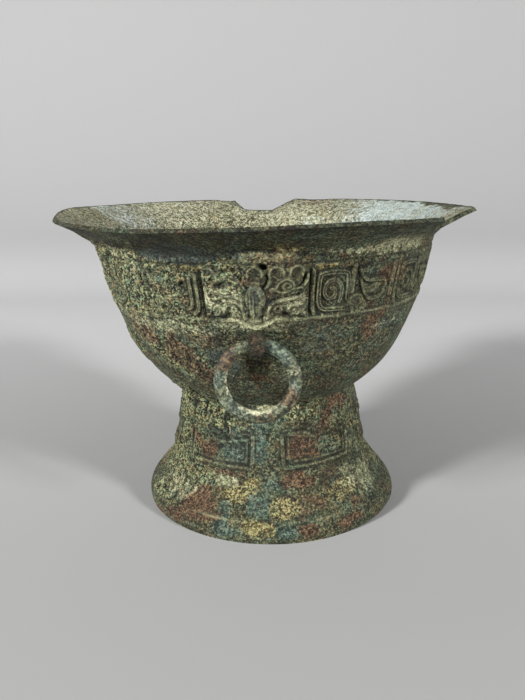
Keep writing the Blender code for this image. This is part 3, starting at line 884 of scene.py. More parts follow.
SPOTS = {
    Coat.OCHRE: patches(
        (-17, 21.8, 9.8, 4.3, 0.95), (22, 110, 16, 8, 0.28), (-11, 27.6, 4.2, 2.9, 0.9),
        (6.2, 16.1, 8.6, 4.5, 0.95), (37.8, 20.2, 10.8, 4.3, 0.85), (-5.8, 7.6, 6.4, 4, 0.8),
        (-54.2, 29.5, 13.4, 7.4, 0.6), (-64.2, 15.5, 9.8, 4.2, 0.6), (-0.2, 160.4, 8, 3.8, 0.5),
        (5, 164, 4.2, 3.4, 0.7), (-26.6, 155.1, 9, 2.1, 0.7), (17.8, 66.1, 11.4, 4.9, 0.7),
        (-47, 162.3, 9, 5.1, 0.6), (1.4, 129.7, 4, 2.5, 0.6), (-9.4, 132.8, 4.2, 2, 0.6),
        (17.8, 154.7, 7.4, 1.2, 0.7), (38.6, 143, 3.6, 2.3, 0.8), (-15.4, 139.8, 3.6, 3.9, 0.4),
        (50.2, 8, 6.8, 3, 0.4), (-49.8, 137.9, 8.8, 7, 0.4), (100, 150, 20, 6, 0.6),
        (-110, 18, 24, 8, 0.8), (160, 16, 26, 7, 0.8), (178, 152, 22, 6, 0.6),
    ),
    Coat.CUPRITE: patches(
        (3, 161, 9, 4.5, 0.45), (32, 98, 26, 13, 0.24), (30, 127, 30, 3.5, 0.22),
        (-49, 49.9, 6, 5.3, 0.8, -0.8), (-37.8, 43.2, 6, 6.3, 0.9), (-38.2, 15, 9, 9.4),
        (-45.8, 5.4, 10.6, 4.5, 0.75), (-28.6, 10.6, 5.8, 2.4, 0.8), (-24.2, 32.6, 6.8, 1.8, 0.8),
        (18.2, 48, 12, 8.9, 0.75), (13.8, 29.1, 10.8, 4.8, 0.85), (21.8, 18.2, 6.2, 4.1, 0.6),
        (15.4, 6.5, 4.8, 3.4, 0.95), (33.4, 6.5, 6.6, 3.4, 0.75), (39, 64.5, 12.4, 5.5, 0.8, 0.9),
        (49.4, 67.2, 6.2, 3.3, 0.7), (-48.2, 120.6, 7.4, 9, 1.1), (-32, 108.6, 7, 10, 1.2, -0.6),
        (-26.2, 98.1, 5.6, 8, 1.1, -0.6), (-21.8, 119.2, 3.4, 6.9, 0.6), (37, 120.3, 4.8, 8.6, 1.1, -0.3),
        (43.4, 146.5, 6.4, 6.4, 1.1), (42.2, 133.2, 2.8, 12.7, 0.55), (-4.6, 95.4, 10.2, 2.7, 0.7),
        (25, 125.1, 8.6, 2.4, 0.4), (4.6, 160, 2.6, 3.9, 0.5), (-8.6, 113.2, 2.6, 4.6, 0.5),
        (28.2, 38.1, 7.8, 3.3, 0.5), (-5.4, 83.3, 8.4, 3.4, 0.3), (-59.4, 1.1, 7.4, 2.7, 0.6),
        (-8.6, 152.3, 1.4, 2.3, 0.3), (-37.4, 134.7, 3.8, 3.3, 0.4), (-24.2, 139, 2, 7.2, 0.35),
        (88, 112, 16, 12, 0.7), (128, 60, 18, 14, 0.6), (-128, 84, 22, 9, 0.7), (-165, 130, 12, 14, 0.6),
        (-150, 44, 16, 10, 0.6), (165, 104, 14, 10, 0.6),
    ),
    Coat.TEAL: patches(
        (-40, 147, 8, 7, 0.4), (-19.8, 48, 12.4, 12.4), (-33.4, 54.7, 8.8, 3.4, 0.8),
        (-5, 53.1, 4.6, 19.2, 0.75), (-6.6, 17.6, 5.2, 5.5, 0.8), (-22.6, 13.6, 5.6, 5.8, 0.65, -0.4),
        (-20.2, 5.7, 7, 4.1, 0.8), (6.2, 6.5, 4.8, 3.9), (1.8, 27.6, 11.2, 4.6, 0.5),
        (30.6, 26.9, 7.2, 3.6, 0.35), (54.6, 44.8, 5.6, 4, 0.5), (70.6, 17.6, 10.6, 2.6, 0.35),
        (-33, 147.3, 4.8, 4.1, 0.6), (-52.2, 139.8, 13.4, 7.2, 0.45), (-14.2, 154.7, 3.6, 3.8, 0.5),
        (23.8, 136.7, 4.8, 6.3, 0.3), (69, 89.1, 9, 2.7, 0.35), (5.4, 63.7, 7.8, 2.1, 0.5),
        (85.4, 59.4, 12.6, 13, 0.5), (49.4, 131.2, 5.8, 12.3, 0.35), (12.2, 153.5, 2.8, 3.8, 0.3),
        (140, 30, 18, 12, 0.7), (-98, 60, 14, 12, 0.6), (110, 84, 14, 10, 0.6),
    ),
    Coat.PALE: patches(
        # The patch at (-2, 128) on the jaw is partly pale patina, partly a painted highlight.
        (-58, 20, 14, 8, 0.6), (52, 22, 16, 9, 0.6), (42, 161.5, 17, 5, 0.7), (-2, 128, 11, 4.5),
        (-11.4, 141, 7, 6, 0.95), (-10.6, 134, 4.8, 2.9, 0.6), (-25, 27.6, 7, 3.5, 0.8),
        (-42.6, 124.4, 22.4, 3.7, 0.7), (-61.4, 129.3, 12, 7.8, 0.4), (-14.2, 125.5, 5.4, 4.5, 0.5),
        (-3.8, 70.3, 8, 3, 0.9), (8, 137, 7, 5, 0.6), (26, 161.4, 10, 2.1, 0.55),
        (-49, 160.8, 7.8, 5, 0.5), (43.8, 42.8, 12.4, 11.2, 0.25), (39.4, 21.4, 5.6, 2.5, 0.5),
        (18.2, 68.4, 9, 3.5, 0.3), (43.8, 121, 9.4, 2.4, 0.5), (-53.4, 35.7, 10.8, 6.9, 0.35),
        (-45.4, 151.6, 9.4, 5.4, 0.35), (3.8, 151.9, 4.4, 4.9, 0.3), (120, 120, 12, 8, 0.5),
        (-160, 70, 12, 6, 0.5),
    ),
    Coat.SLATE: patches(
        (-26, 162, 11, 4.5, 1.2), (-9.8, 162.6, 3.8, 3.1, 0.5), (-3, 143.3, 2.4, 4.7, 0.8),
        (1, 139.8, 4, 2.5, 0.5), (-20.6, 120.3, 4.2, 7.1, 0.5), (-15.4, 106.7, 6.2, 10.1, 0.55),
        (17.8, 157, 5.4, 1.7, 0.35), (32.6, 148, 3.2, 4.3, 0.4), (46.2, 119.9, 8.8, 3.3, 0.7),
        (17.4, 116.9, 8.8, 8.1, 0.4), (-33.4, 17.9, 4.4, 4.3, 0.5), (32.6, 26.2, 7.4, 3, 0.4),
        (-17.8, 72.2, 9, 4.8, 0.4), (41.8, 108.1, 9.6, 9.8, 0.4), (53.8, 150.4, 9, 8.1, 0.5),
        (-19.8, 48, 8.6, 8.1, 0.4), (140, 158, 20, 5, 0.7), (-120, 160, 24, 4, 0.7),
    ),
}
SWELLINGS = patches(
    (-92, 84, 16, 7, 1.3), (-88, 74, 16, 5, 0.8), (-95, 102, 14, 9, 0.6), (92, 78, 14, 5, 1.0),
    (64, 7, 22, 9, 1.2), (95, 30, 18, 4, -0.7), (-95, 27, 18, 5, -0.8),
)


class Surface:
    """The vessel's outer wall as relief and coats at any place on it."""

    NOISE_RADIUS = 0.08
    FRAYS = ((1.7, 0.013, 4), (4.1, 0.013, 4), (6.3, 0.005, 3))

    def __init__(self, azimuth: Array, height: Array) -> None:
        """Keeps the places: azimuths in radians and heights in millimetres, on the upright vessel.

        Args:
            azimuth: Radians from -Y towards +X.
            height: Heights in millimetres.
        """
        self.azimuth = azimuth
        self.degrees = np.degrees(wrap(azimuth))
        self.up = height
        self.places = placed(azimuth, self.NOISE_RADIUS, height * MM)
        self.ragged = GRAIN.layered(self.places, 0.014)
        self.frayed = np.stack(
            [GRAIN.layered(self.places + shift, size, layers) for shift, size, layers in self.FRAYS]
        )
        self.crust = spread(CRUST_PATCHES, self.degrees, height, self.frayed)
        self.facing = 0.45 + 0.55 * smooth(np.cos(azimuth), -0.35, 0.25)

    def from_mask(self, side: Side) -> Array:
        """Each place's distance along the wall from a mask's middle, in millimetres."""
        return wrap(self.azimuth - side.value) * BAND_SCALE

    def band(self) -> Relief:
        """The band's relief and its two borders.

        Returns:
            The relief above the plain wall.
        """
        front, back = self.from_mask(Side.FRONT), self.from_mask(Side.BACK)
        unit = BandRelief()
        right, left, behind = [Relief(along, self.up) for along in (front, -front, np.abs(back))]
        unit.draw(right, 0.0, False)
        unit.draw_worn(left)
        unit.draw(right, unit.unit_length, False)
        unit.draw(left, unit.unit_length, False)
        for shift in (0.0, unit.unit_length):
            unit.draw(behind, shift, True)
        inside = window(self.up, unit.sill, unit.sill + 1.0, unit.head, unit.head + 0.8)
        near_front = np.abs(front) < np.abs(back)
        whole = Relief(front, self.up)
        whole.over(right, inside * near_front * (front > 0))
        whole.over(left, inside * near_front * (front <= 0))
        whole.over(behind, inside * ~near_front)
        below_head = 1 - smooth(self.up, unit.head, unit.head + 0.8)
        whole.height += 0.6 * smooth(self.up, 153.2, 153.9) * below_head
        top, bottom = hill(self.up, 156.9, 0.55), hill(self.up, 127.2, 0.6)
        whole.height -= 0.6 * top + 0.4 * bottom
        whole.height += 0.45 * smooth(self.up, 127.6, 128.2) * (1 - smooth(self.up, 129.6, 130.4))
        inner = hill(self.up, 152.9, 0.5) + hill(self.up, 130.9, 0.5)
        # The groove under the neck's step is darkened as a painted shadow of the step; the other lines take
        # grime and painted shade, and the sill a pale line of wear and painted highlight.
        whole.grime_and_shade = np.maximum.reduce([whole.grime_and_shade, 0.9 * top, 0.4 * bottom, 0.45 * inner])
        whole.rub_and_highlight = np.maximum(whole.rub_and_highlight, 0.5 * hill(self.up, unit.sill, 0.5))
        return whole

    def masks(self, wall: Array) -> tuple[Array, Array, Relief]:
        """The masks as a least radius.

        Args:
            wall: The plain wall's radius at each place.

        Returns:
            The radius that the masks reach, how much of each place is mask, and the masks' own relief.
        """
        mask = MaskRelief()
        reach, share = wall.copy(), np.zeros_like(wall)
        whole = Relief(self.azimuth, self.up)
        slope = PROFILE.cone(self.up)
        for side, plain in ((Side.FRONT, False), (Side.BACK, True)):
            along = self.from_mask(side)
            near = (np.abs(along) < mask.half_width + 2) & (self.up > mask.lowest) & (self.up < mask.highest)
            chosen = np.nonzero(near)[0]
            low, high = mask.edges(along[chosen], not plain)
            up, off = self.up[chosen], np.abs(along[chosen])
            inside = window(up, low - 0.6, low + 0.5, high - 0.3, high + 0.5)
            inside = inside * (1 - smooth(off, mask.half_width - 1.2, mask.half_width - 0.1))
            drawn = mask.features(along[chosen], up, plain)
            lift = mask.plate(along[chosen], up) + drawn.height * (0.7 if plain else 1.0)
            reach[chosen] = wall[chosen] + inside * np.maximum(slope[chosen] + lift - wall[chosen], 0.0)
            share[chosen] = inside
            groove = hill(off, mask.half_width - 0.1, 0.7) * window(up, *mask.side_groove)
            reach[chosen] -= groove
            whole.grime_and_shade[chosen] = np.maximum(inside * drawn.grime_and_shade, groove)
            whole.rub_and_highlight[chosen] = inside * drawn.rub_and_highlight
        return reach, share, whole

    def lift(self) -> Relief:
        """Band, foot and incised lines above the plain wall, with their wear.

        Returns:
            The relief above the plain wall.
        """
        whole = self.band()
        panels = FootRelief().drawn(self.azimuth, self.up)
        panels.rub_and_highlight *= 0.45
        panels.grime_and_shade = np.minimum(1.25 * panels.grime_and_shade, 1.0)
        whole.over(panels, np.ones_like(self.up))
        across = np.abs(self.degrees + 2)
        line = hill(self.up - 10.8 - 0.012 * across, 0.0, 0.4)
        whole.height -= 0.3 * line
        seen = hill(self.degrees, -26, 9) + 0.6 * hill(self.degrees, 27, 9)
        whole.rub_and_highlight = np.maximum(whole.rub_and_highlight, 1.3 * line * seen)
        worn = (1 - 0.35 * smooth(self.crust, 0.5, 0.95)) * (1 - 0.35 * smooth(self.ragged, 0.1, 0.7))
        whole.height *= worn
        whole.grime_and_shade *= worn
        whole.rub_and_highlight *= worn
        return whole

    def crusted(self) -> Relief:
        """The crusts, lumpy where they are thick, and the wall's own roughness.

        Returns:
            The crusts' height, with grime and painted shade between the grains and wear and painted highlight
            on their tops.
        """
        thick = smooth(self.crust, 0.15, 0.85)
        bent = self.places + 0.0016 * self.frayed.T
        grains = GRAIN.lumps(bent, 2.3 * MM)
        fine = GRAIN.lumps(bent + 0.5, 1.3 * MM)
        broad = GRAIN.layered(self.places, 9 * MM, 3)
        pits = smooth(GRAIN.soft(bent + 2.2, 3.2 * MM), 0.25, 0.6)
        whole = Relief(self.azimuth, self.up)
        whole.height = thick * (0.2 + 0.9 * grains + 0.5 * fine + 0.7 * broad - 0.6 * pits)
        whole.height += self.facing * (0.16 * GRAIN.layered(self.places, 3.2 * MM, 3) + 0.12 * broad)
        for patch in SWELLINGS:
            across = wrap_degrees(self.degrees - patch.azimuth)
            far = np.hypot(across / patch.half_azimuth, (self.up - patch.height) / patch.half_height)
            whole.height += patch.strength * hill(far, 0.0, 1.0)
        lumpy = 0.6 * grains + 0.4 * fine
        kept = 1 - 0.35 * window(self.up, 128, 131, 154, 157)
        whole.height *= kept
        # Painted shade between the grains and in the pits, partly grime; painted highlight on the grains'
        # tops, partly wear.
        whole.grime_and_shade = thick * np.maximum(1 - smooth(lumpy, 0.05, 0.4), pits) * kept
        worn_tops = 0.4 * smooth(broad, 0.2, 0.7) * (1 - pits)
        whole.rub_and_highlight = thick * np.maximum(0.5 * smooth(lumpy, 0.5, 0.85), worn_tops)
        return whole

    def coats(self) -> dict[Coat, Array]:
        """How much of each coat lies at each place outside.

        Returns:
            None to one at each place, for each coat.
        """
        laid = {Coat.CRUST: self.crust}
        for coat, spots in SPOTS.items():
            laid[coat] = spread(spots, self.degrees, self.up, self.frayed)
        return laid


def deselect() -> None:
    """Leaves edit mode and deselects everything."""
    if bpy.context.object and bpy.context.object.mode != "OBJECT":
        bpy.ops.object.mode_set(mode="OBJECT")
    bpy.ops.object.select_all(action="DESELECT")


def only(piece: Piece) -> None:
    """Makes a piece the only selected object and the active one."""
    deselect()
    piece.select_set(True)
    bpy.context.view_layer.objects.active = piece


def edit_all(piece: Piece) -> None:
    """Opens a piece in edit mode with everything selected."""
    only(piece)
    bpy.ops.object.mode_set(mode="EDIT")
    bpy.ops.mesh.select_all(action="SELECT")


def extrude(move: Array) -> None:
    """Extrudes what is selected by this move, in metres."""
    value = tuple(float(part) for part in move)
    bpy.ops.mesh.extrude_region_move(TRANSFORM_OT_translate={"value": value})


def drawn_line(name: str, points: Array) -> Piece:
    """A line of edges, extruded point by point from the first.

    Args:
        name: The new object's name.
        points: Places, one a row, in metres.

    Returns:
        The object, whose vertices are in the points' order.
    """
    deselect()
    bpy.ops.mesh.primitive_plane_add(size=MM, location=points[0])
    line = bpy.context.object
    line.name = name
    bpy.ops.object.transform_apply(location=True, rotation=True, scale=True)
    edit_all(line)
    bpy.ops.mesh.merge(type="CENTER")
    for before, after in zip(points, points[1:]):
        extrude(after - before)
    bpy.ops.object.mode_set(mode="OBJECT")
    return line


def get_places(piece: Piece) -> Array:
    """A piece's vertices, one a row."""
    places = np.empty(len(piece.data.vertices) * 3)
    piece.data.vertices.foreach_get("co", places)
    return places.reshape(-1, 3)


def set_places(piece: Piece, places: Array) -> None:
    """Moves a piece's vertices."""
    piece.data.vertices.foreach_set("co", places.ravel())
    piece.data.update()


def apply(piece: Piece, kind: str, **settings: object) -> None:
    """Adds a modifier with its settings and applies it.

    Args:
        piece: What takes the modifier.
        kind: The modifier's type.
        settings: Its settings by name.
    """
    only(piece)
    modifier = piece.modifiers.new(kind.lower(), kind)
    for name, value in settings.items():
        setattr(modifier, name, value)
    bpy.ops.object.modifier_apply(modifier=modifier.name)


def mend(piece: Piece) -> None:
    """Merges doubles and turns every face outwards."""
    edit_all(piece)
    bpy.ops.mesh.remove_doubles(threshold=1e-6)
    bpy.ops.mesh.normals_make_consistent(inside=False)
    bpy.ops.object.mode_set(mode="OBJECT")


def hold_in_box(piece: Piece, node: str) -> None:
    """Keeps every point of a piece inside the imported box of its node."""
    low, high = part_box(node)
    set_places(piece, np.clip(get_places(piece), np.array(low), np.array(high)))


def clothe(piece: Piece, material: Material) -> None:
    """Gives a piece its finish in place of any other."""
    piece.data.materials.clear()
    piece.data.materials.append(material)


def count_triangles(piece: Piece) -> int:
    """How many triangles a piece has."""
    return sum(len(face.vertices) - 2 for face in piece.data.polygons)


def store(piece: Piece, coats: dict[Coat, Array]) -> None:
    """Writes the coats to the piece's colour attributes, which its material reads.

    Args:
        piece: The piece.
        coats: None to one at each of its vertices, for each coat.
    """
    count = len(piece.data.vertices)
    for name in COAT_LAYERS:
        colours = np.zeros((count, 4), np.float32)
        colours[:, 3] = 1.0
        for coat, amount in coats.items():
            if coat.value[0] == name:
                colours[:, coat.value[1]] = np.clip(amount, 0, 1)
        attribute = piece.data.color_attributes.new(name, "FLOAT_COLOR", "POINT")
        attribute.data.foreach_set("color", colours.ravel())


def linear(red: float, green: float, blue: float) -> tuple[float, float, float, float]:
    """A colour as it is seen on a screen, 0 to 255, made linear.

    Args:
        red: Its red part.
        green: Its green part.
        blue: Its blue part.

    Returns:
        The linear parts and an alpha of one.
    """
    parts = [value / 255 for value in (red, green, blue)]
    parts = [part / 12.92 if part <= 0.04045 else ((part + 0.055) / 1.055) ** 2.4 for part in parts]
    return (*parts, 1.0)


class Strand:
    """A number or a colour that a material works out, and plain arithmetic with numbers."""

    SHADES = (0.2, 0.5, 0.85)

    def __init__(self, weave: "Weave", socket: Socket) -> None:
        """Keeps the socket that gives the value, and the weave it belongs to."""
        self.weave = weave
        self.socket = socket

    def __add__(self, other: "Strand | float") -> "Strand":
        """This and the other added up."""
        return self.weave.reckon("ADD", self, other)

    def __sub__(self, other: "Strand | float") -> "Strand":
        """This less the other."""
        return self.weave.reckon("SUBTRACT", self, other)

    def __rsub__(self, other: float) -> "Strand":
        """A plain number less this."""
        return self.weave.reckon("SUBTRACT", other, self)

    def __mul__(self, other: "Strand | float") -> "Strand":
        """This times the other."""
        return self.weave.reckon("MULTIPLY", self, other)

    def between(self, low: float, high: float, start: float = 0.0, end: float = 1.0) -> "Strand":
        """A smooth change from start to end as this goes from low to high."""
        inputs = {"Value": self, "From Min": low, "From Max": high, "To Min": start, "To Max": end}
        return self.weave.take("MapRange", "Result", inputs, interpolation_type="SMOOTHSTEP")

    def shades(self, *colours: Colour, places: tuple[float, ...] = SHADES) -> "Strand":
        """Colours from dark to light as this grows.

        Args:
            colours: The colours as seen on a screen.
            places: The value of this at which each colour is reached.

        Returns:
            The colour.
        """
        node = self.weave.node("ValToRGB", {"Fac": self})
        elements = node.color_ramp.elements
        while len(elements) < len(colours):
            elements.new(0.5)
        for element, place, colour in zip(elements, places, colours):
            element.position = place
            element.color = linear(*colour)
        return Strand(self.weave, node.outputs["Color"])


Source = Strand | float | tuple


class Weave:
    """A material's node tree, with short ways to add what the finishes use."""

    def __init__(self, name: str) -> None:
        """Makes an empty material with its shader and its coordinates."""
        self.material = bpy.data.materials.new(name)
        self.material.use_nodes = True
        self.tree = self.material.node_tree
        self.shader = self.tree.nodes["Principled BSDF"]
        self.coordinates = self.take("TexCoord", "Object", {})

    def _join(self, source: Source, socket: Socket) -> None:
        """Links a strand to a socket, or sets the socket's own value.

        Args:
            source: A strand, a number or a colour.
            socket: Where it goes.
        """
        if isinstance(source, Strand):
            self.tree.links.new(source.socket, socket)
        else:
            socket.default_value = source

    def node(self, kind: str, inputs: dict[str | int, Source], **settings: object) -> bpy.types.Node:
        """Adds a node.

        Args:
            kind: The node's type, without its prefix.
            inputs: What goes into each input, by the input's name or number.
            settings: The node's own settings.

        Returns:
            The node.
        """
        node = self.tree.nodes.new("ShaderNode" + kind)
        for name, value in settings.items():
            setattr(node, name, value)
        for socket, source in inputs.items():
            self._join(source, node.inputs[socket])
        return node

    def take(
        self, kind: str, output: str | int, inputs: dict[str | int, Source], **settings: object
    ) -> Strand:
        """Adds a node as above and takes one of its outputs."""
        return Strand(self, self.node(kind, inputs, **settings).outputs[output])

    def finish(self, **values: Source) -> None:
        """Gives the shader its values, by their names with _ for a space."""
        for name, value in values.items():
            self._join(value, self.shader.inputs[name.replace("_", " ")])

    def reckon(self, kind: str, first: Source, second: Source) -> Strand:
        """One step of arithmetic."""
        return self.take("Math", 0, {0: first, 1: second}, operation=kind)

    def larger(self, first: Source, second: Source) -> Strand:
        """The larger of two numbers."""
        return self.reckon("MAXIMUM", first, second)

    def mix(self, share: Source, first: Source, second: Source) -> Strand:
        """The first colour, with a share of the second over it."""
        return self.take("Mix", 2, {"Factor": share, 6: first, 7: second}, data_type="RGBA")

    def noise(
        self, size: float, detail: float, roughness: float = 0.55, warp: float = 0.0, squeeze: float = 1.0
    ) -> Strand:
        """Cloudy noise.

        Args:
            size: The width of its clouds, in metres.
            detail: How many finer sizes are added.
            roughness: How much the finer sizes count.
            warp: How far the clouds are twisted.
            squeeze: How much flatter than wide they are.

        Returns:
            The noise, from none to one.
        """
        where = self.coordinates
        if squeeze != 1.0:
            inputs = {0: where, 1: (1.0, 1.0, squeeze)}
            where = self.take("VectorMath", "Vector", inputs, operation="MULTIPLY")
        inputs = {"Vector": where, "Scale": 1.0 / size, "Detail": detail}
        return self.take("TexNoise", "Fac", {**inputs, "Roughness": roughness, "Distortion": warp})

    def cells(self, size: float) -> Strand:
        """The distance to the nearest grain of a packing whose grains are about size apart."""
        return self.take("TexVoronoi", "Distance", {"Vector": self.coordinates, "Scale": 1.0 / size})

    def scatter(self, size: float) -> list[Strand]:
        """Two numbers from none to one that change from grain to grain, for grains about size apart.

        Args:
            size: The distance between grains, in metres.

        Returns:
            The two numbers.
        """
        wobble = self.take("TexNoise", "Color", {"Vector": self.coordinates, "Scale": 0.8 / size})
        inputs = {0: wobble, 1: (1.6 * size,) * 3, 2: self.coordinates}
        bent = self.take("VectorMath", "Vector", inputs, operation="MULTIPLY_ADD")
        colour = self.take("TexVoronoi", "Color", {"Vector": bent, "Scale": 1.0 / size})
        return self.split(colour)[:2]

    def split(self, colour: Strand) -> list[Strand]:
        """The three channels of a colour."""
        node = self.node("SeparateColor", {"Color": colour})
        return [Strand(self, node.outputs[channel]) for channel in ("Red", "Green", "Blue")]

    def laid(self) -> dict[Coat, Strand]:
        """How much of each coat is laid on the mesh.

        Returns:
            None to one, for each coat.
        """
        coats = {}
        for name in COAT_LAYERS:
            channels = self.split(self.take("Attribute", "Color", {}, attribute_name=name))
            coats |= {Coat((name, channel)): strand for channel, strand in enumerate(channels)}
        return coats

    def bump(self, height: Strand, strength: float, distance: float, **under: Strand) -> Strand:
        """A bump, on top of another normal if one is given as Normal."""
        inputs = {"Strength": strength, "Distance": distance, "Height": height, **under}
        return self.take("Bump", "Normal", inputs)


@dataclass(frozen=True)
class Stain:
    """A coat's colours, from its dark pits to its pale grains, and how strongly it covers."""

    coat: Coat
    dark: Colour
    middle: Colour
    light: Colour
    cover: float = 0.95
    low: float = 0.3
    high: float = 0.75


STAINS = (
    Stain(Coat.OCHRE, (50, 44, 20), (118, 108, 64), (188, 178, 126)),
    Stain(Coat.CRUST, (16, 22, 13), (74, 82, 54), (170, 174, 124), 0.85, 0.25, 0.8),
    Stain(Coat.SLATE, (30, 38, 37), (60, 70, 65), (100, 113, 101), 0.95, 0.35, 0.62),
    Stain(Coat.TEAL, (26, 41, 36), (67, 86, 76), (119, 138, 119)),
    Stain(Coat.CUPRITE, (30, 20, 12), (82, 58, 41), (140, 110, 80), 0.9),
    Stain(Coat.PALE, (92, 96, 68), (150, 152, 114), (214, 212, 174), 0.88),
)


@dataclass(frozen=True)
class CorrodedBronze:
    """The vessel's finish: dark bronze under green, ochre, red, teal and grey corrosion."""

    name: str = "corroded_bronze"
    grain: float = 0.0008
    crumb: float = 0.0017
    speckle: float = 1.3
    green_grain: tuple = ((9, 25, 16), (48, 78, 58), (118, 154, 122))
    brown_grain: tuple = ((32, 19, 9), (98, 67, 40), (170, 134, 94))
    # The pit colour is grime and painted shade, the rub colour is wear and painted highlight.
    pit_grime_and_shade_colour: Colour = (20, 21, 13)
    rub_and_highlight_colour: Colour = (196, 198, 154)

    def material(self) -> Material:
        """Builds the finish's material, which reads the coats laid on the mesh.

        Returns:
            The material.
        """
        w = Weave(self.name)
        laid = w.laid()
        crust, inner, slate = laid[Coat.CRUST], laid[Coat.INNER], laid[Coat.SLATE]
        small = w.noise(0.0024, 4.0, 0.7)
        grain, pick = w.scatter(self.grain)
        crumb, hue = w.scatter(self.crumb)
        loose = crust * 0.86 + 0.48 - w.larger(inner, slate * 0.4) * 0.25
        tone = (grain - 0.5) * self.speckle + (crumb - 0.5) * (0.4 * self.speckle)
        tone = tone * loose + small.between(0.3, 0.7, 0.38, 0.62)
        fray = (w.noise(0.0062, 5.0, 0.62, 0.3) * 0.5 + small * 0.5 - 0.5) * 2.6 + (pick - 0.5) * 0.22
        colour = self._stained(w, laid, tone, fray)
        colour = self._skinned(w, laid, tone, fray, colour)
        tints = ((0.62, 0.74, self.green_grain), (0.38, 0.26, self.brown_grain))
        plain = w.larger(inner, laid[Coat.CUPRITE]) * 0.5
        for low, high, shades in tints:
            some = hue.between(low, high) * crust.between(0.0, 1.0, 0.16, 0.5) * (1.0 - plain)
            colour = w.mix(some, colour, tone.shades(*shades))
        worn = small.between(0.38, 0.58)
        pit = linear(*self.pit_grime_and_shade_colour)
        # Pale rubbed metal and painted highlight on ridges, grime and painted shade in hollows.
        ridge = laid[Coat.RIDGE] * worn.between(0.0, 1.0, 0.32, 0.62)
        hollow = laid[Coat.HOLLOW] * worn.between(0.0, 1.0, 0.95, 0.78)
        colour = w.mix(ridge, colour, linear(*self.rub_and_highlight_colour))
        colour = w.mix(hollow, colour, pit)
        sooty = w.noise(0.02, 5.0, 0.65, squeeze=5.0).between(0.5, 0.66, 0.0, 0.75)
        under = sooty * inner.between(0.5, 0.0, 0.25, 1.0)
        colour = w.mix(under, colour, w.mix(0.72, colour, pit))
        grains = w.cells(self.crumb).between(0.0, 0.75, 1.0, 0.0) * crust.between(0.1, 0.8, 0.2, 1.0)
        speck = w.noise(self.grain * 1.3, 2.0, 0.7)
        normal = w.bump(small, 0.8, 0.0012, Normal=w.bump(grains + speck * 2.0, 1.0, 0.001))
        w.finish(Base_Color=colour, Roughness=small.between(0.3, 0.7, 0.62, 0.9), Normal=normal)
        w.finish(Specular_IOR_Level=0.35)
        return w.material

    @staticmethod
    def _stained(w: Weave, laid: dict[Coat, Strand], tone: Strand, fray: Strand) -> Strand:
        """The thin olive patina, greener and browner in clouds, with every stain over it.

        Args:
            w: The material's weave.
            laid: How much of each coat there is.
            tone: Dark to light, from grain to grain.
            fray: What makes the coats' edges ragged.

        Returns:
            The colour.
        """
        olive = ((24, 24, 14), (60, 61, 41), (84, 84, 58), (140, 136, 98))
        colour = tone.shades(*olive, places=(0.18, 0.45, 0.62, 0.88))
        green = tone.shades((24, 34, 25), (62, 74, 56), (126, 138, 108))
        colour = w.mix(w.noise(0.021, 5.0, 0.6, 0.4).between(0.42, 0.6), colour, green)
        brown = tone.shades((28, 20, 13), (70, 56, 38), (130, 108, 78))
        colour = w.mix(w.noise(0.012, 5.0, 0.65).between(0.52, 0.68), colour, brown)
        for stain in STAINS:
            coat = laid[stain.coat]
            present = coat.between(0.02, 0.3)
            if stain.coat is Coat.SLATE:
                present = present * (1.0 - laid[Coat.INNER])
            cover = (coat + fray).between(stain.low, stain.high, 0.0, stain.cover)
            colour = w.mix(cover * present, colour, tone.shades(stain.dark, stain.middle, stain.light))
        return colour

    @staticmethod
    def _skinned(w: Weave, laid: dict[Coat, Strand], tone: Strand, fray: Strand, colour: Strand) -> Strand:
        """The colour with the pale skin of the inside over it, blue-grey in places.

        Args:
            w: The material's weave.
            laid: How much of each coat there is.
            tone: Dark to light, from grain to grain.
            fray: What makes the coats' edges ragged.
            colour: The colour under the skin.

        Returns:
            The colour.
        """
        blue = (laid[Coat.SLATE] + fray).between(0.3, 0.9)
        skin = blue * 0.25 + 0.6 - w.larger(laid[Coat.OCHRE], laid[Coat.CUPRITE]) * 0.35
        tan_shade = tone.shades((110, 106, 78), (184, 182, 150), (228, 226, 202))
        blue_shade = tone.shades((138, 152, 150), (208, 224, 222), (236, 244, 242))
        return w.mix(laid[Coat.INNER] * skin, colour, w.mix(blue, tan_shade, blue_shade))


@dataclass(frozen=True)
class RingBronze:
    """The rings' finish: grey-green bronze with rubbed pale places, a painted highlight on the inner bottom,
    and red-brown spots.
    """

    name: str = "ring_patina"
    grain: float = 0.0009
    grey: tuple = ((26, 30, 22), (68, 74, 56), (132, 134, 104))
    stains: tuple = (
        (Coat.TEAL, ((32, 42, 37), (76, 88, 76), (138, 150, 130))),
        (Coat.CUPRITE, ((30, 22, 15), (76, 62, 46), (130, 110, 84))),
        # The pale coat is partly rubbed metal, partly a painted highlight.
        (Coat.PALE, ((104, 104, 80), (182, 180, 146), (228, 226, 196))),
    )

    def material(self) -> Material:
        """Builds the rings' material on their own coordinates.

        Returns:
            The material.
        """
        w = Weave(self.name)
        laid = w.laid()
        small = w.noise(0.0024, 4.0, 0.7)
        grain, pick = w.scatter(self.grain)
        tone = (grain - 0.5) * 0.4 + small.between(0.3, 0.7, 0.2, 0.8)
        fray = (w.noise(0.006, 5.0, 0.62) + pick * 0.25 - 0.62) * 2.6
        colour = tone.shades(*self.grey)
        for coat, shades in self.stains:
            cover = (laid[coat] + fray).between(0.3, 0.8, 0.0, 0.9) * laid[coat].between(0.02, 0.3)
            colour = w.mix(cover, colour, tone.shades(*shades))
        normal = w.bump(small, 0.7, 0.0009, Normal=w.bump(grain, 0.5, 0.0006))
        w.finish(Base_Color=colour, Roughness=small.between(0.3, 0.7, 0.5, 0.8), Normal=normal)
        w.finish(Specular_IOR_Level=0.4)
        return w.material


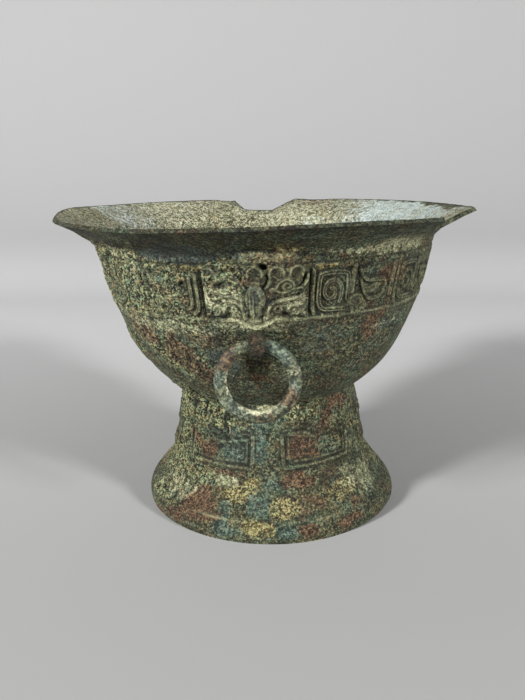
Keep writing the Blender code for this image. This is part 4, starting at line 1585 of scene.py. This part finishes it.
@dataclass
class Casting:
    """The vessel: bowl, lip, band, masks and foot, one closed wall."""

    name: str = "bronze_vessel"
    columns: int = 900
    fine: float = 1.0
    most_triangles: int = 190000
    crowding: float = 0.42
    lip_waves: tuple = ((0.7, 15, 16), (-0.7, -31, 12), (-0.6, 45, 10), (-1.2, -168, 5), (-0.8, 161, 6))
    tip_rise: float = 1.3
    inner_roughness: float = 0.22
    torn_above: float = 160.5
    lip_edge: float = 117.8
    loop_coats: tuple = (Coat.CRUST, Coat.OCHRE, Coat.TEAL, Coat.PALE, Coat.SLATE, Coat.RIDGE)
    piece: Piece = field(default=None, repr=False)

    def build(self) -> Piece:
        """Turns, carves, leans, breaks and thins the wall.

        Returns:
            The vessel's object.
        """
        rows, zones = PROFILE.rows(self.fine)
        self.piece = self._turned(rows)
        self._carve(rows, zones)
        for side in Side:
            self._join("UNION", StrapLoop(side).build())
        for loss in BrokenLip:
            self._join("DIFFERENCE", loss.cutter())
        apply(self.piece, "TRIANGULATE")
        count = count_triangles(self.piece)
        if count > self.most_triangles:
            apply(self.piece, "DECIMATE", ratio=self.most_triangles / count)
        LOG.info("casting thinned from %d to %d triangles", count, count_triangles(self.piece))
        hold_in_box(self.piece, "vessel")
        only(self.piece)
        bpy.ops.object.shade_smooth_by_angle(angle=math.radians(50))
        return self.piece

    def _join(self, operation: str, other: Piece) -> None:
        """Adds another solid to the wall or cuts it out, and removes it."""
        apply(self.piece, "BOOLEAN", operation=operation, solver="MANIFOLD", object=other)
        bpy.data.objects.remove(other)

    def _turned(self, rows: Array) -> Piece:
        """The outline as a line of edges, turned once round and closed at its poles.

        Args:
            rows: The profile's rows as (radius, height) in millimetres.

        Returns:
            The turned wall.
        """
        points = np.stack([rows[:, 0], np.zeros(len(rows)), rows[:, 1]], axis=1) * MM
        line = drawn_line(self.name, points)
        station = line.data.attributes.new("station", "FLOAT", "POINT")
        station.data.foreach_set("value", np.arange(len(rows), dtype=np.float32))
        steps = {"steps": self.columns, "render_steps": self.columns}
        apply(line, "SCREW", axis="Z", use_merge_vertices=True, merge_threshold=1e-6, **steps)
        mend(line)
        return line

    def _carve(self, rows: Array, zones: Array) -> None:
        """Moves every point of the turned wall to its place in the relief, and leans the whole.

        Args:
            rows: The profile's rows as (radius, height) in millimetres.
            zones: Each row's Zone value.
        """
        places = get_places(self.piece)
        station = np.zeros(len(places), np.float32)
        self.piece.data.attributes["station"].data.foreach_get("value", station)
        station = np.clip(np.rint(station).astype(int), 0, len(rows) - 1)
        turn = np.arctan2(places[:, 0], -places[:, 1])
        azimuth = turn - self.crowding * np.sin(turn)
        degrees = np.degrees(wrap(azimuth))
        radius, height = rows[station].T.copy()
        zone = zones[station]
        along = np.gradient(rows, axis=0)
        along /= np.maximum(np.linalg.norm(along, axis=1, keepdims=True), 1e-9)
        normal = np.stack([-along[:, 1], along[:, 0]], axis=1)[station]
        outside = np.isin(zone, [part.value for part in (Zone.LIP_UNDER, Zone.BAND, Zone.BOWL, Zone.FOOT)])
        radius[outside], height[outside] = self._carved(
            azimuth[outside], radius[outside], height[outside], normal[outside]
        )
        spots = (placed(azimuth, radius, height) * MM)[~outside]
        rough = self.inner_roughness * GRAIN.layered(spots, 6 * MM, 3) * smooth(height[~outside], 0.0, 4.0)
        rough = rough * (radius[~outside] > 3)
        radius[~outside] += rough * normal[~outside][:, 0]
        height[~outside] += rough * normal[~outside][:, 1]
        edge = smooth(height, 158.0, 174.0) * smooth(radius, 98.0, 119.0)
        height += edge * sum(rise * hill(degrees, middle, width) for rise, middle, width in self.lip_waves)
        thick_tip = hill(degrees, -95, 16) * smooth(radius, 108, 118)
        upper = zone == Zone.LIP_TOP.value
        height[upper] += self.tip_rise * thick_tip[upper]
        set_places(self.piece, LEAN.lean(placed(azimuth, radius, height) * MM))

    @staticmethod
    def _carved(azimuth: Array, radius: Array, height: Array, out: Array) -> tuple[Array, Array]:
        """The outside with its relief, masks and crusts.

        Args:
            azimuth: Radians from -Y towards +X.
            radius: The plain wall's radius in millimetres.
            height: The plain wall's height in millimetres.
            out: The wall's direction outwards, as (radius, height).

        Returns:
            The new radius and height.
        """
        surface = Surface(azimuth, height)
        low_rim = smooth(height, 0.0, 3.0)
        lift = surface.lift().height * low_rim
        crust = surface.crusted().height * low_rim * (1 - 0.8 * smooth(height, 166, 171))
        reach, share, _ = surface.masks(radius)
        above = np.where(share > 0.5, 0.0, lift * (1 - share)) + crust * (1 - 0.45 * share)
        leaning = np.where(out[:, 0] > 0.2, out[:, 0], 0.6)
        return reach + above * leaning, height + above * out[:, 1] * (1 - share)

    def dress(self, material: Material) -> None:
        """Lays the coats, gives the finish and hangs the piece on its body.

        Args:
            material: The vessel's finish.
        """
        upright = LEAN.upright(get_places(self.piece))
        radius = np.hypot(upright[:, 0], upright[:, 1]) / MM
        azimuth = np.arctan2(upright[:, 0], -upright[:, 1])
        height = upright[:, 2] / MM
        torn = np.zeros(len(radius), bool)
        for loss in BrokenLip:
            torn |= loss.torn(upright[:, :2] / MM) & (height > self.torn_above)
        inner = self._inside(radius, height) & (radius < self.lip_edge) & ~torn
        surface = Surface(azimuth, height)
        coats = surface.coats()
        self._wear(coats, surface, radius)
        # The breaks' faces are darkened as painted shade of the fracture's thickness.
        coats[Coat.HOLLOW] = np.where(torn, 0.45, coats[Coat.HOLLOW])
        for coat in coats:
            coats[coat] = np.where(inner, 0.0, coats[coat])
        self._dress_inside(coats, inner, azimuth, radius, height)
        self._dress_loops(coats, surface, radius)
        store(self.piece, coats)
        clothe(self.piece, material)
        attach(self.piece, "vessel")
        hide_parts("vessel")

    @staticmethod
    def _inside(radius: Array, height: Array) -> Array:
        """Which places lie nearest to a row of the bowl's inside, the lip's top or the foot's hollow.

        Args:
            radius: Millimetres from the axis.
            height: Millimetres above the table.

        Returns:
            True where a place is inside.
        """
        rows, zones = PROFILE.rows(1.0)
        best, zone = np.full(len(radius), np.inf), np.zeros(len(radius), int)
        for (row_radius, row_height), row_zone in zip(rows, zones):
            gap = (radius - row_radius) ** 2 + (height - row_height) ** 2
            closer = gap < best
            best[closer], zone[closer] = gap[closer], row_zone
        return np.isin(zone, [part.value for part in (Zone.INSIDE, Zone.LIP_TOP, Zone.UNDERFOOT)])

    @staticmethod
    def _wear(coats: dict[Coat, Array], surface: Surface, radius: Array) -> None:
        """Lays the dark of the hollows, grime and painted shade, with painted shade under the lip, and the
        pale of the ridges, rubbed metal and painted highlight.

        Args:
            coats: The coats, to which both are added.
            surface: The vessel's surface.
            radius: Millimetres from the axis.
        """
        _, share, carved = surface.masks(PROFILE.cone(surface.up))
        lifted, lumps = surface.lift(), surface.crusted()
        plain = 1 - share
        # Painted shade under the lip on the front left.
        painted_lip_shade = 1.1 * smooth(surface.up, 158, 164) * hill(surface.degrees, -55, 34)
        rim = 0.66 * smooth(radius, 114.5, 117.6) * (0.8 + 0.7 * surface.ragged)
        dark_grime_and_shade = [carved.grime_and_shade, lifted.grime_and_shade * plain, lumps.grime_and_shade * (1 - 0.5 * share), rim]
        coats[Coat.HOLLOW] = np.maximum.reduce([*dark_grime_and_shade, painted_lip_shade * (0.6 + 0.8 * surface.ragged)])
        coats[Coat.RIDGE] = np.maximum.reduce([carved.rub_and_highlight, lifted.rub_and_highlight * plain, lumps.rub_and_highlight * 0.8])

    def _dress_loops(self, coats: dict[Coat, Array], surface: Surface, radius: Array) -> None:
        """Clears the strap loops of the other coats and lays red-brown and painted shade on them, darker
        towards the bottom.

        Args:
            coats: The coats, changed on the loops.
            surface: The vessel's surface.
            radius: Millimetres from the axis.
        """
        height = surface.up
        beyond = smooth(radius - np.maximum(PROFILE.cone(height), 86.0), 0.6, 2.0) * smooth(height, 104, 109)
        for side in Side:
            off = np.abs(surface.from_mask(side))
            loop = beyond * (1 - smooth(off, 5.0, 6.5)) * (1 - smooth(height, 121.5, 124.5))
            for coat in self.loop_coats:
                coats[coat] = coats[coat] * (1 - loop)
            coats[Coat.CUPRITE] = np.maximum(coats[Coat.CUPRITE] * (1 - loop), 0.62 * loop)
            # Painted shade of the loop under the jaw, darker towards its bottom.
            dark_grime_and_shade = (0.68 + 0.22 * smooth(-height, -116, -112)) * loop
            coats[Coat.HOLLOW] = np.maximum(coats[Coat.HOLLOW], dark_grime_and_shade)

    @staticmethod
    def _dress_inside(
        coats: dict[Coat, Array],
        inner: Array,
        azimuth: Array,
        radius: Array,
        height: Array,
    ) -> None:
        """Lays the coats of the lip's upper side and the bowl's inside.

        Args:
            coats: The coats, changed where inner is true.
            inner: Which places these are.
            azimuth: Radians from -Y towards +X.
            radius: Millimetres from the axis.
            height: Millimetres above the table.
        """
        places = placed(azimuth, radius, height) * MM
        wide = GRAIN.layered(places, 0.03, 3)
        other = GRAIN.layered(places + 3.0, 0.022, 3)
        third = GRAIN.layered(places + 7.0, 0.018, 3)
        # The inside grows paler and more skinned up on the lip: partly pale skin, partly painted light from
        # above.
        lip = smooth(height, 150, 162)
        degrees = np.degrees(azimuth)
        blue = 1.2 * hill(degrees, 118, 30) + 0.7 * hill(degrees, -118, 14)
        blue *= lip * (0.95 + 0.7 * wide + 0.4 * other)
        thick = (0.45 + 0.4 * smooth(other, -0.2, 0.5)) * (0.5 + 0.5 * lip)
        rusty_lip = 0.55 * lip * hill(degrees, 158, 9) * (1 + other)
        laid = {
            Coat.PALE: 0.35 + 0.5 * lip * smooth(wide, -0.3, 0.5),
            Coat.CRUST: thick * (1 - 0.7 * np.minimum(blue, 1)),
            Coat.OCHRE: 0.85 * smooth(third, 0.0, 0.5),
            Coat.TEAL: 0.6 * smooth(other - third, 0.1, 0.7),
            Coat.INNER: 0.8 + 0.2 * lip,
            Coat.CUPRITE: 0.6 * smooth(-third, 0.35, 0.6) + rusty_lip,
            Coat.SLATE: np.maximum(blue, 0.5 * smooth(wide - other, 0.2, 0.7)),
        }
        for coat, amount in laid.items():
            coats[coat] = np.where(inner, amount, coats.get(coat, 0.0))


class BrokenLip(Enum):
    """What the lip has lost, as outlines in plan, in millimetres."""

    NOTCH = (
        (-23.0, 124.0), (-20.6, 114.0), (-14.0, 103.2), (6.0, 102.6),
        (15.4, 109.6), (24.4, 117.0), (33.0, 121.0),
    )
    WEDGE = (
        (85.5, -96.0), (84.6, -84.7), (83.1, -78.0), (84.0, -67.0), (86.5, -55.0), (90.0, -43.6),
        (96.8, -28.5), (104.5, -27.6), (110.0, -25.6), (114.0, -27.2), (126.0, -31.0), (126.0, -96.0),
    )

    def torn(self, plan: Array) -> Array:
        """Which places, in millimetres in plan, lie on the break.

        Args:
            plan: Places as (x, y) in millimetres.

        Returns:
            True on the break.
        """
        near = np.zeros(len(plan), bool)
        outline = np.array(self.value)
        for start, end in zip(outline, outline[1:]):
            run = end - start
            share = np.clip((plan - start) @ run / (run @ run), 0, 1)
            near |= np.linalg.norm(plan - start - share[:, None] * run, axis=1) < 0.75
        return near

    def cutter(self) -> Piece:
        """The lost piece as a solid with torn sides.

        Returns:
            The solid to be cut out.
        """
        outline = np.array(self.value)
        low, high, layers = 161.8, 182.0, 14
        piece = drawn_line("cutter", np.column_stack([outline, np.full(len(outline), low)]) * MM)
        edit_all(piece)
        bpy.ops.mesh.edge_face_add()
        bpy.ops.mesh.subdivide(number_cuts=9)
        bpy.ops.mesh.select_all(action="SELECT")
        for _ in range(layers):
            extrude((0.0, 0.0, (high - low) / layers * MM))
        bpy.ops.object.mode_set(mode="OBJECT")
        mend(piece)
        places = get_places(piece)
        torn = GRAIN.layered(places, 5 * MM, 3) * 0.5 * MM
        towards = places[:, :2] / np.linalg.norm(places[:, :2], axis=1, keepdims=True)
        places[:, :2] += towards * torn[:, None]
        set_places(piece, LEAN.lean(places))
        return piece


@dataclass
class StrapLoop:
    """The strap under a mask's jaw that the ring hangs in."""

    side: Side
    eye_radius: float = 4.4
    thickness: float = 1.8
    width: float = 8.8
    upper_root: float = 86.0
    lower_root: float = 82.0
    taper: float = 0.24
    crown: float = 0.25

    def build(self) -> Piece:
        """Bends the strap and gives it its thickness.

        Returns:
            The strap as a closed solid whose ends are in the wall.
        """
        middle = self.eye_radius + self.thickness / 2
        route = [(self.upper_root, PIVOT_HEIGHT + middle)]
        for degrees in range(90, -91, -15):
            turn = math.radians(degrees)
            route.append((PIVOT_RADIUS + middle * math.cos(turn), PIVOT_HEIGHT + middle * math.sin(turn)))
        route.append((self.lower_root, PIVOT_HEIGHT - middle - 0.3))
        strap = drawn_line("strap", np.array([(0.0, -out, up) for out, up in route]) * MM)
        edit_all(strap)
        half = self.width / 2 * MM
        bpy.ops.transform.translate(value=(-half, 0, 0))
        for _ in range(8):
            extrude((half / 4, 0, 0))
        bpy.ops.object.mode_set(mode="OBJECT")
        mend(strap)
        places = get_places(strap)
        down = smooth((PIVOT_HEIGHT + middle) * MM - places[:, 2], 0.0, 2 * middle * MM)
        places[:, 0] *= 1 - self.taper * down
        arch = 1 - (places[:, 0] / half) ** 2
        outward = np.stack([places[:, 1] / MM + PIVOT_RADIUS, places[:, 2] / MM - PIVOT_HEIGHT], axis=1)
        outward /= np.linalg.norm(outward, axis=1, keepdims=True)
        places[:, 1] += self.crown * MM * arch * outward[:, 0]
        places[:, 2] += self.crown * MM * arch * outward[:, 1]
        set_places(strap, places)
        apply(strap, "SOLIDIFY", thickness=(self.thickness - 0.1) * MM, offset=0.0)
        apply(strap, "BEVEL", width=0.5 * MM, segments=2, limit_method="ANGLE", angle_limit=math.radians(40))
        apply(strap, "SUBSURF", levels=1, render_levels=1)
        mend(strap)
        places = get_places(strap)
        places += 0.1 * MM * GRAIN.layered(places, 2.5 * MM, 3)[:, None]
        turn = np.array(Matrix.Rotation(self.side.value, 3, "Z"))
        set_places(strap, LEAN.lean(places @ turn.T))
        return strap


@dataclass
class HandRing:
    """A loose ring that hangs straight down in its loop."""

    side: Side
    name: str
    centre_radius: float = 18.6
    tube_radius: float = 3.4
    stub: float = 12.0
    piece: Piece = field(default=None, repr=False)

    def build(self) -> Piece:
        """Makes the ring round, then eats into it.

        Returns:
            The ring's object.
        """
        deselect()
        bpy.ops.mesh.primitive_torus_add(
            major_radius=self.centre_radius * MM,
            minor_radius=self.tube_radius * MM,
            major_segments=160,
            minor_segments=40,
        )
        self.piece = bpy.context.object
        self.piece.name = self.name
        places = get_places(self.piece)
        around = np.arctan2(places[:, 1], places[:, 0])
        level = np.zeros(len(around))
        centre = np.stack([np.cos(around), np.sin(around), level], axis=1) * self.centre_radius * MM
        out = places - centre
        clear = smooth(np.degrees(np.abs(wrap(around - math.pi / 2))), 14, 34)
        eaten = 0.03 * np.abs(GRAIN.layered(places, 3 * MM, 3))
        shrink = 0.965 + 0.03 * GRAIN.layered(places + 1.3, 7 * MM, 4) - eaten
        if self.side is Side.FRONT:
            within = smooth(-out @ np.array([1.0, 0, 0]) / MM, 0.0, 3.0)
            shrink = shrink + 0.1 * (hill(np.degrees(around), self.stub, 9) * within)
        self._lay_coats(np.degrees(around), out / (self.tube_radius * MM), places)
        places = centre + out * np.minimum(shrink, 1.0 + 0.12 * clear)[:, None]
        upright = np.stack([places[:, 0], -places[:, 2], places[:, 1] - self.centre_radius * MM], axis=1)
        turn = np.array(Matrix.Rotation(self.side.value, 3, "Z"))
        pivot = placed(self.side.value, PIVOT_RADIUS * MM, PIVOT_HEIGHT * MM)[None]
        set_places(self.piece, upright @ turn.T + LEAN.lean(pivot))
        mend(self.piece)
        only(self.piece)
        bpy.ops.object.shade_smooth()
        return self.piece

    def _lay_coats(self, around: Array, out: Array, places: Array) -> None:
        """Lays the ring's coats.

        Args:
            around: Each point's place round the ring in degrees, 90 at the loop.
            out: Each point's direction out of the ring's tube.
            places: The points, for the noise.
        """
        ragged = 14 * GRAIN.layered(places, 8 * MM, 3)

        def near(middle: float, half: float) -> Array:
            """How near each point is to a stretch of the ring, one inside half of it."""
            return 1 - smooth(np.abs(wrap_degrees(around - middle + ragged)), 0.5 * half, 1.2 * half)

        # Painted highlight on the ring's upward-facing inner bottom.
        painted_inner_highlight = smooth(out[:, 1], 0.35, 0.9) * near(-92, 56)
        inner_left = smooth(out[:, 0], 0.5, 0.95) * near(-170, 40)
        red_brown = [near(140, 22), 0.9 * near(-26, 24), 0.6 * near(-78, 14)]
        blue_green = [near(58, 26), 0.9 * near(-8, 12), 0.7 * near(-130, 26), 0.6 * near(178, 20)]
        pale = [painted_inner_highlight, 0.8 * inner_left, 0.3 * near(22, 10)]
        coats = {Coat.CUPRITE: red_brown, Coat.TEAL: blue_green, Coat.PALE: pale}
        store(self.piece, {coat: np.maximum.reduce(spots) for coat, spots in coats.items()})

    def dress(self, material: Material, body: str) -> None:
        """Gives the finish and hangs the piece on its body.

        Args:
            material: The rings' finish.
            body: The body and node it belongs to.
        """
        clothe(self.piece, material)
        hold_in_box(self.piece, body)
        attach(self.piece, body)
        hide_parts(body)


@dataclass(frozen=True)
class Studio:
    """The plain pale sweep, the soft light and the camera."""

    lens: float = 34.97
    tilt: float = math.radians(90 - 15.39)
    roll: float = math.radians(-0.32)
    room: float = 0.03
    horizon: float = 0.3
    paper: Colour = (208, 208, 208)
    # The near and high paper colours are painted shade, for the light's falloff towards the front and up the
    # wall.
    paper_near_shade: Colour = (159, 159, 158)
    paper_high_shade: Colour = (175, 175, 175)
    paper_fleck: Colour = (150, 150, 150)
    lamps: tuple = (
        ("front_left", -52.0, 25.0, 2.2, 0.32, 70.0),
        ("front_right", 52.0, 25.0, 2.2, 0.32, 45.5),
        ("overhead", 0.0, 78.0, 1.6, 1.2, 1.5),
    )
    stand: tuple = (-0.0049, -0.4084, 0.2018)

    def build(self) -> None:
        """Sets up the whole studio."""
        bpy.context.scene.view_settings.view_transform = "Standard"
        self._sweep()
        self._lights()
        self._camera()

    def _sweep(self) -> None:
        """A floor that curves up into a back wall behind."""
        front, back, radius, top, half_width = -3.0, 0.62, 0.5, 3.0, 5.0
        points = [(0.0, front, 0.0), (0.0, back, 0.0)]
        for degrees in range(6, 91, 6):
            turn = math.radians(degrees)
            points.append((0.0, back + radius * math.sin(turn), radius * (1 - math.cos(turn))))
        points.append((0.0, back + radius, top))
        line = drawn_line("sweep", np.array(points))
        edit_all(line)
        bpy.ops.transform.translate(value=(-half_width, 0, 0))
        extrude((2 * half_width, 0, 0))
        bpy.ops.object.mode_set(mode="OBJECT")
        bpy.ops.object.shade_smooth()
        w = Weave("pale_paper")
        split = w.node("SeparateXYZ", {"Vector": w.coordinates})
        away, up = [Strand(w, split.outputs[axis]) for axis in ("Y", "Z")]
        # Painted shade: the paper darkens towards the front and up the wall.
        tone = w.mix(away.between(-0.15, 0.5), linear(*self.paper_near_shade), linear(*self.paper))
        tone = w.mix(up.between(-0.01, 0.08), tone, linear(*self.paper_high_shade))
        tone = w.mix(w.noise(0.0011, 2.0) * 0.25, tone, linear(*self.paper_fleck))
        w.finish(Base_Color=tone, Roughness=0.9)
        line.data.materials.append(w.material)

    def _lights(self) -> None:
        """Two low lights in front, one at each side, a broad one above, and a pale room."""
        world = bpy.context.scene.world or bpy.data.worlds.new("room")
        bpy.context.scene.world = world
        world.use_nodes = True
        tree = world.node_tree
        background = tree.nodes["Background"]
        split = tree.nodes.new("ShaderNodeSeparateXYZ")
        tree.links.new(tree.nodes.new("ShaderNodeTexCoord").outputs["Generated"], split.inputs["Vector"])
        fade = tree.nodes.new("ShaderNodeMapRange")
        fade.interpolation_type = "SMOOTHSTEP"
        steps = {"From Min": 0.1, "From Max": 0.45, "To Min": self.horizon, "To Max": self.room}
        for socket, number in steps.items():
            fade.inputs[socket].default_value = number
        tree.links.new(split.outputs["Z"], fade.inputs["Value"])
        tree.links.new(fade.outputs["Result"], background.inputs["Strength"])
        background.inputs["Color"].default_value = linear(214, 214, 214)
        for name, azimuth, elevation, distance, size, power in self.lamps:
            across, up = math.radians(azimuth), math.radians(elevation)
            place = Vector(placed(across, distance * math.cos(up), distance * math.sin(up)))
            light = bpy.data.lights.new(name, "AREA")
            light.size = size
            light.energy = power
            lamp = bpy.data.objects.new(name, light)
            lamp.location = place
            lamp.rotation_euler = (Vector((0, 0, 0.08)) - place).to_track_quat("-Z", "Y").to_euler()
            bpy.context.scene.collection.objects.link(lamp)

    def _camera(self) -> None:
        """The camera at the photograph's viewing angle."""
        camera = bpy.data.cameras.new("camera")
        camera.lens = self.lens
        camera.sensor_width = 36.0
        camera.sensor_fit = "AUTO"
        holder = bpy.data.objects.new("camera", camera)
        turn = Matrix.Rotation(self.tilt, 4, "X") @ Matrix.Rotation(self.roll, 4, "Z")
        x, y, z = self.stand
        holder.matrix_world = Matrix.Translation((x + LEAN.axis_x, y, z)) @ turn
        bpy.context.scene.collection.objects.link(holder)
        bpy.context.scene.camera = holder


def main() -> None:
    """Builds and dresses every piece, then the studio round them."""
    logging.basicConfig(level=logging.INFO, format="%(message)s")
    casting = Casting()
    casting.build()
    casting.dress(CorrodedBronze().material())
    LOG.info("%s: %d triangles", casting.name, count_triangles(casting.piece))
    ring_finish = RingBronze().material()
    for side, name, body in ((Side.FRONT, "front_ring", "ring_front"), (Side.BACK, "back_ring", "ring_back")):
        ring = HandRing(side, name)
        ring.build()
        ring.dress(ring_finish, body)
        LOG.info("%s: %d triangles", name, count_triangles(ring.piece))
    Studio().build()


if __name__ == "__main__":
    main()
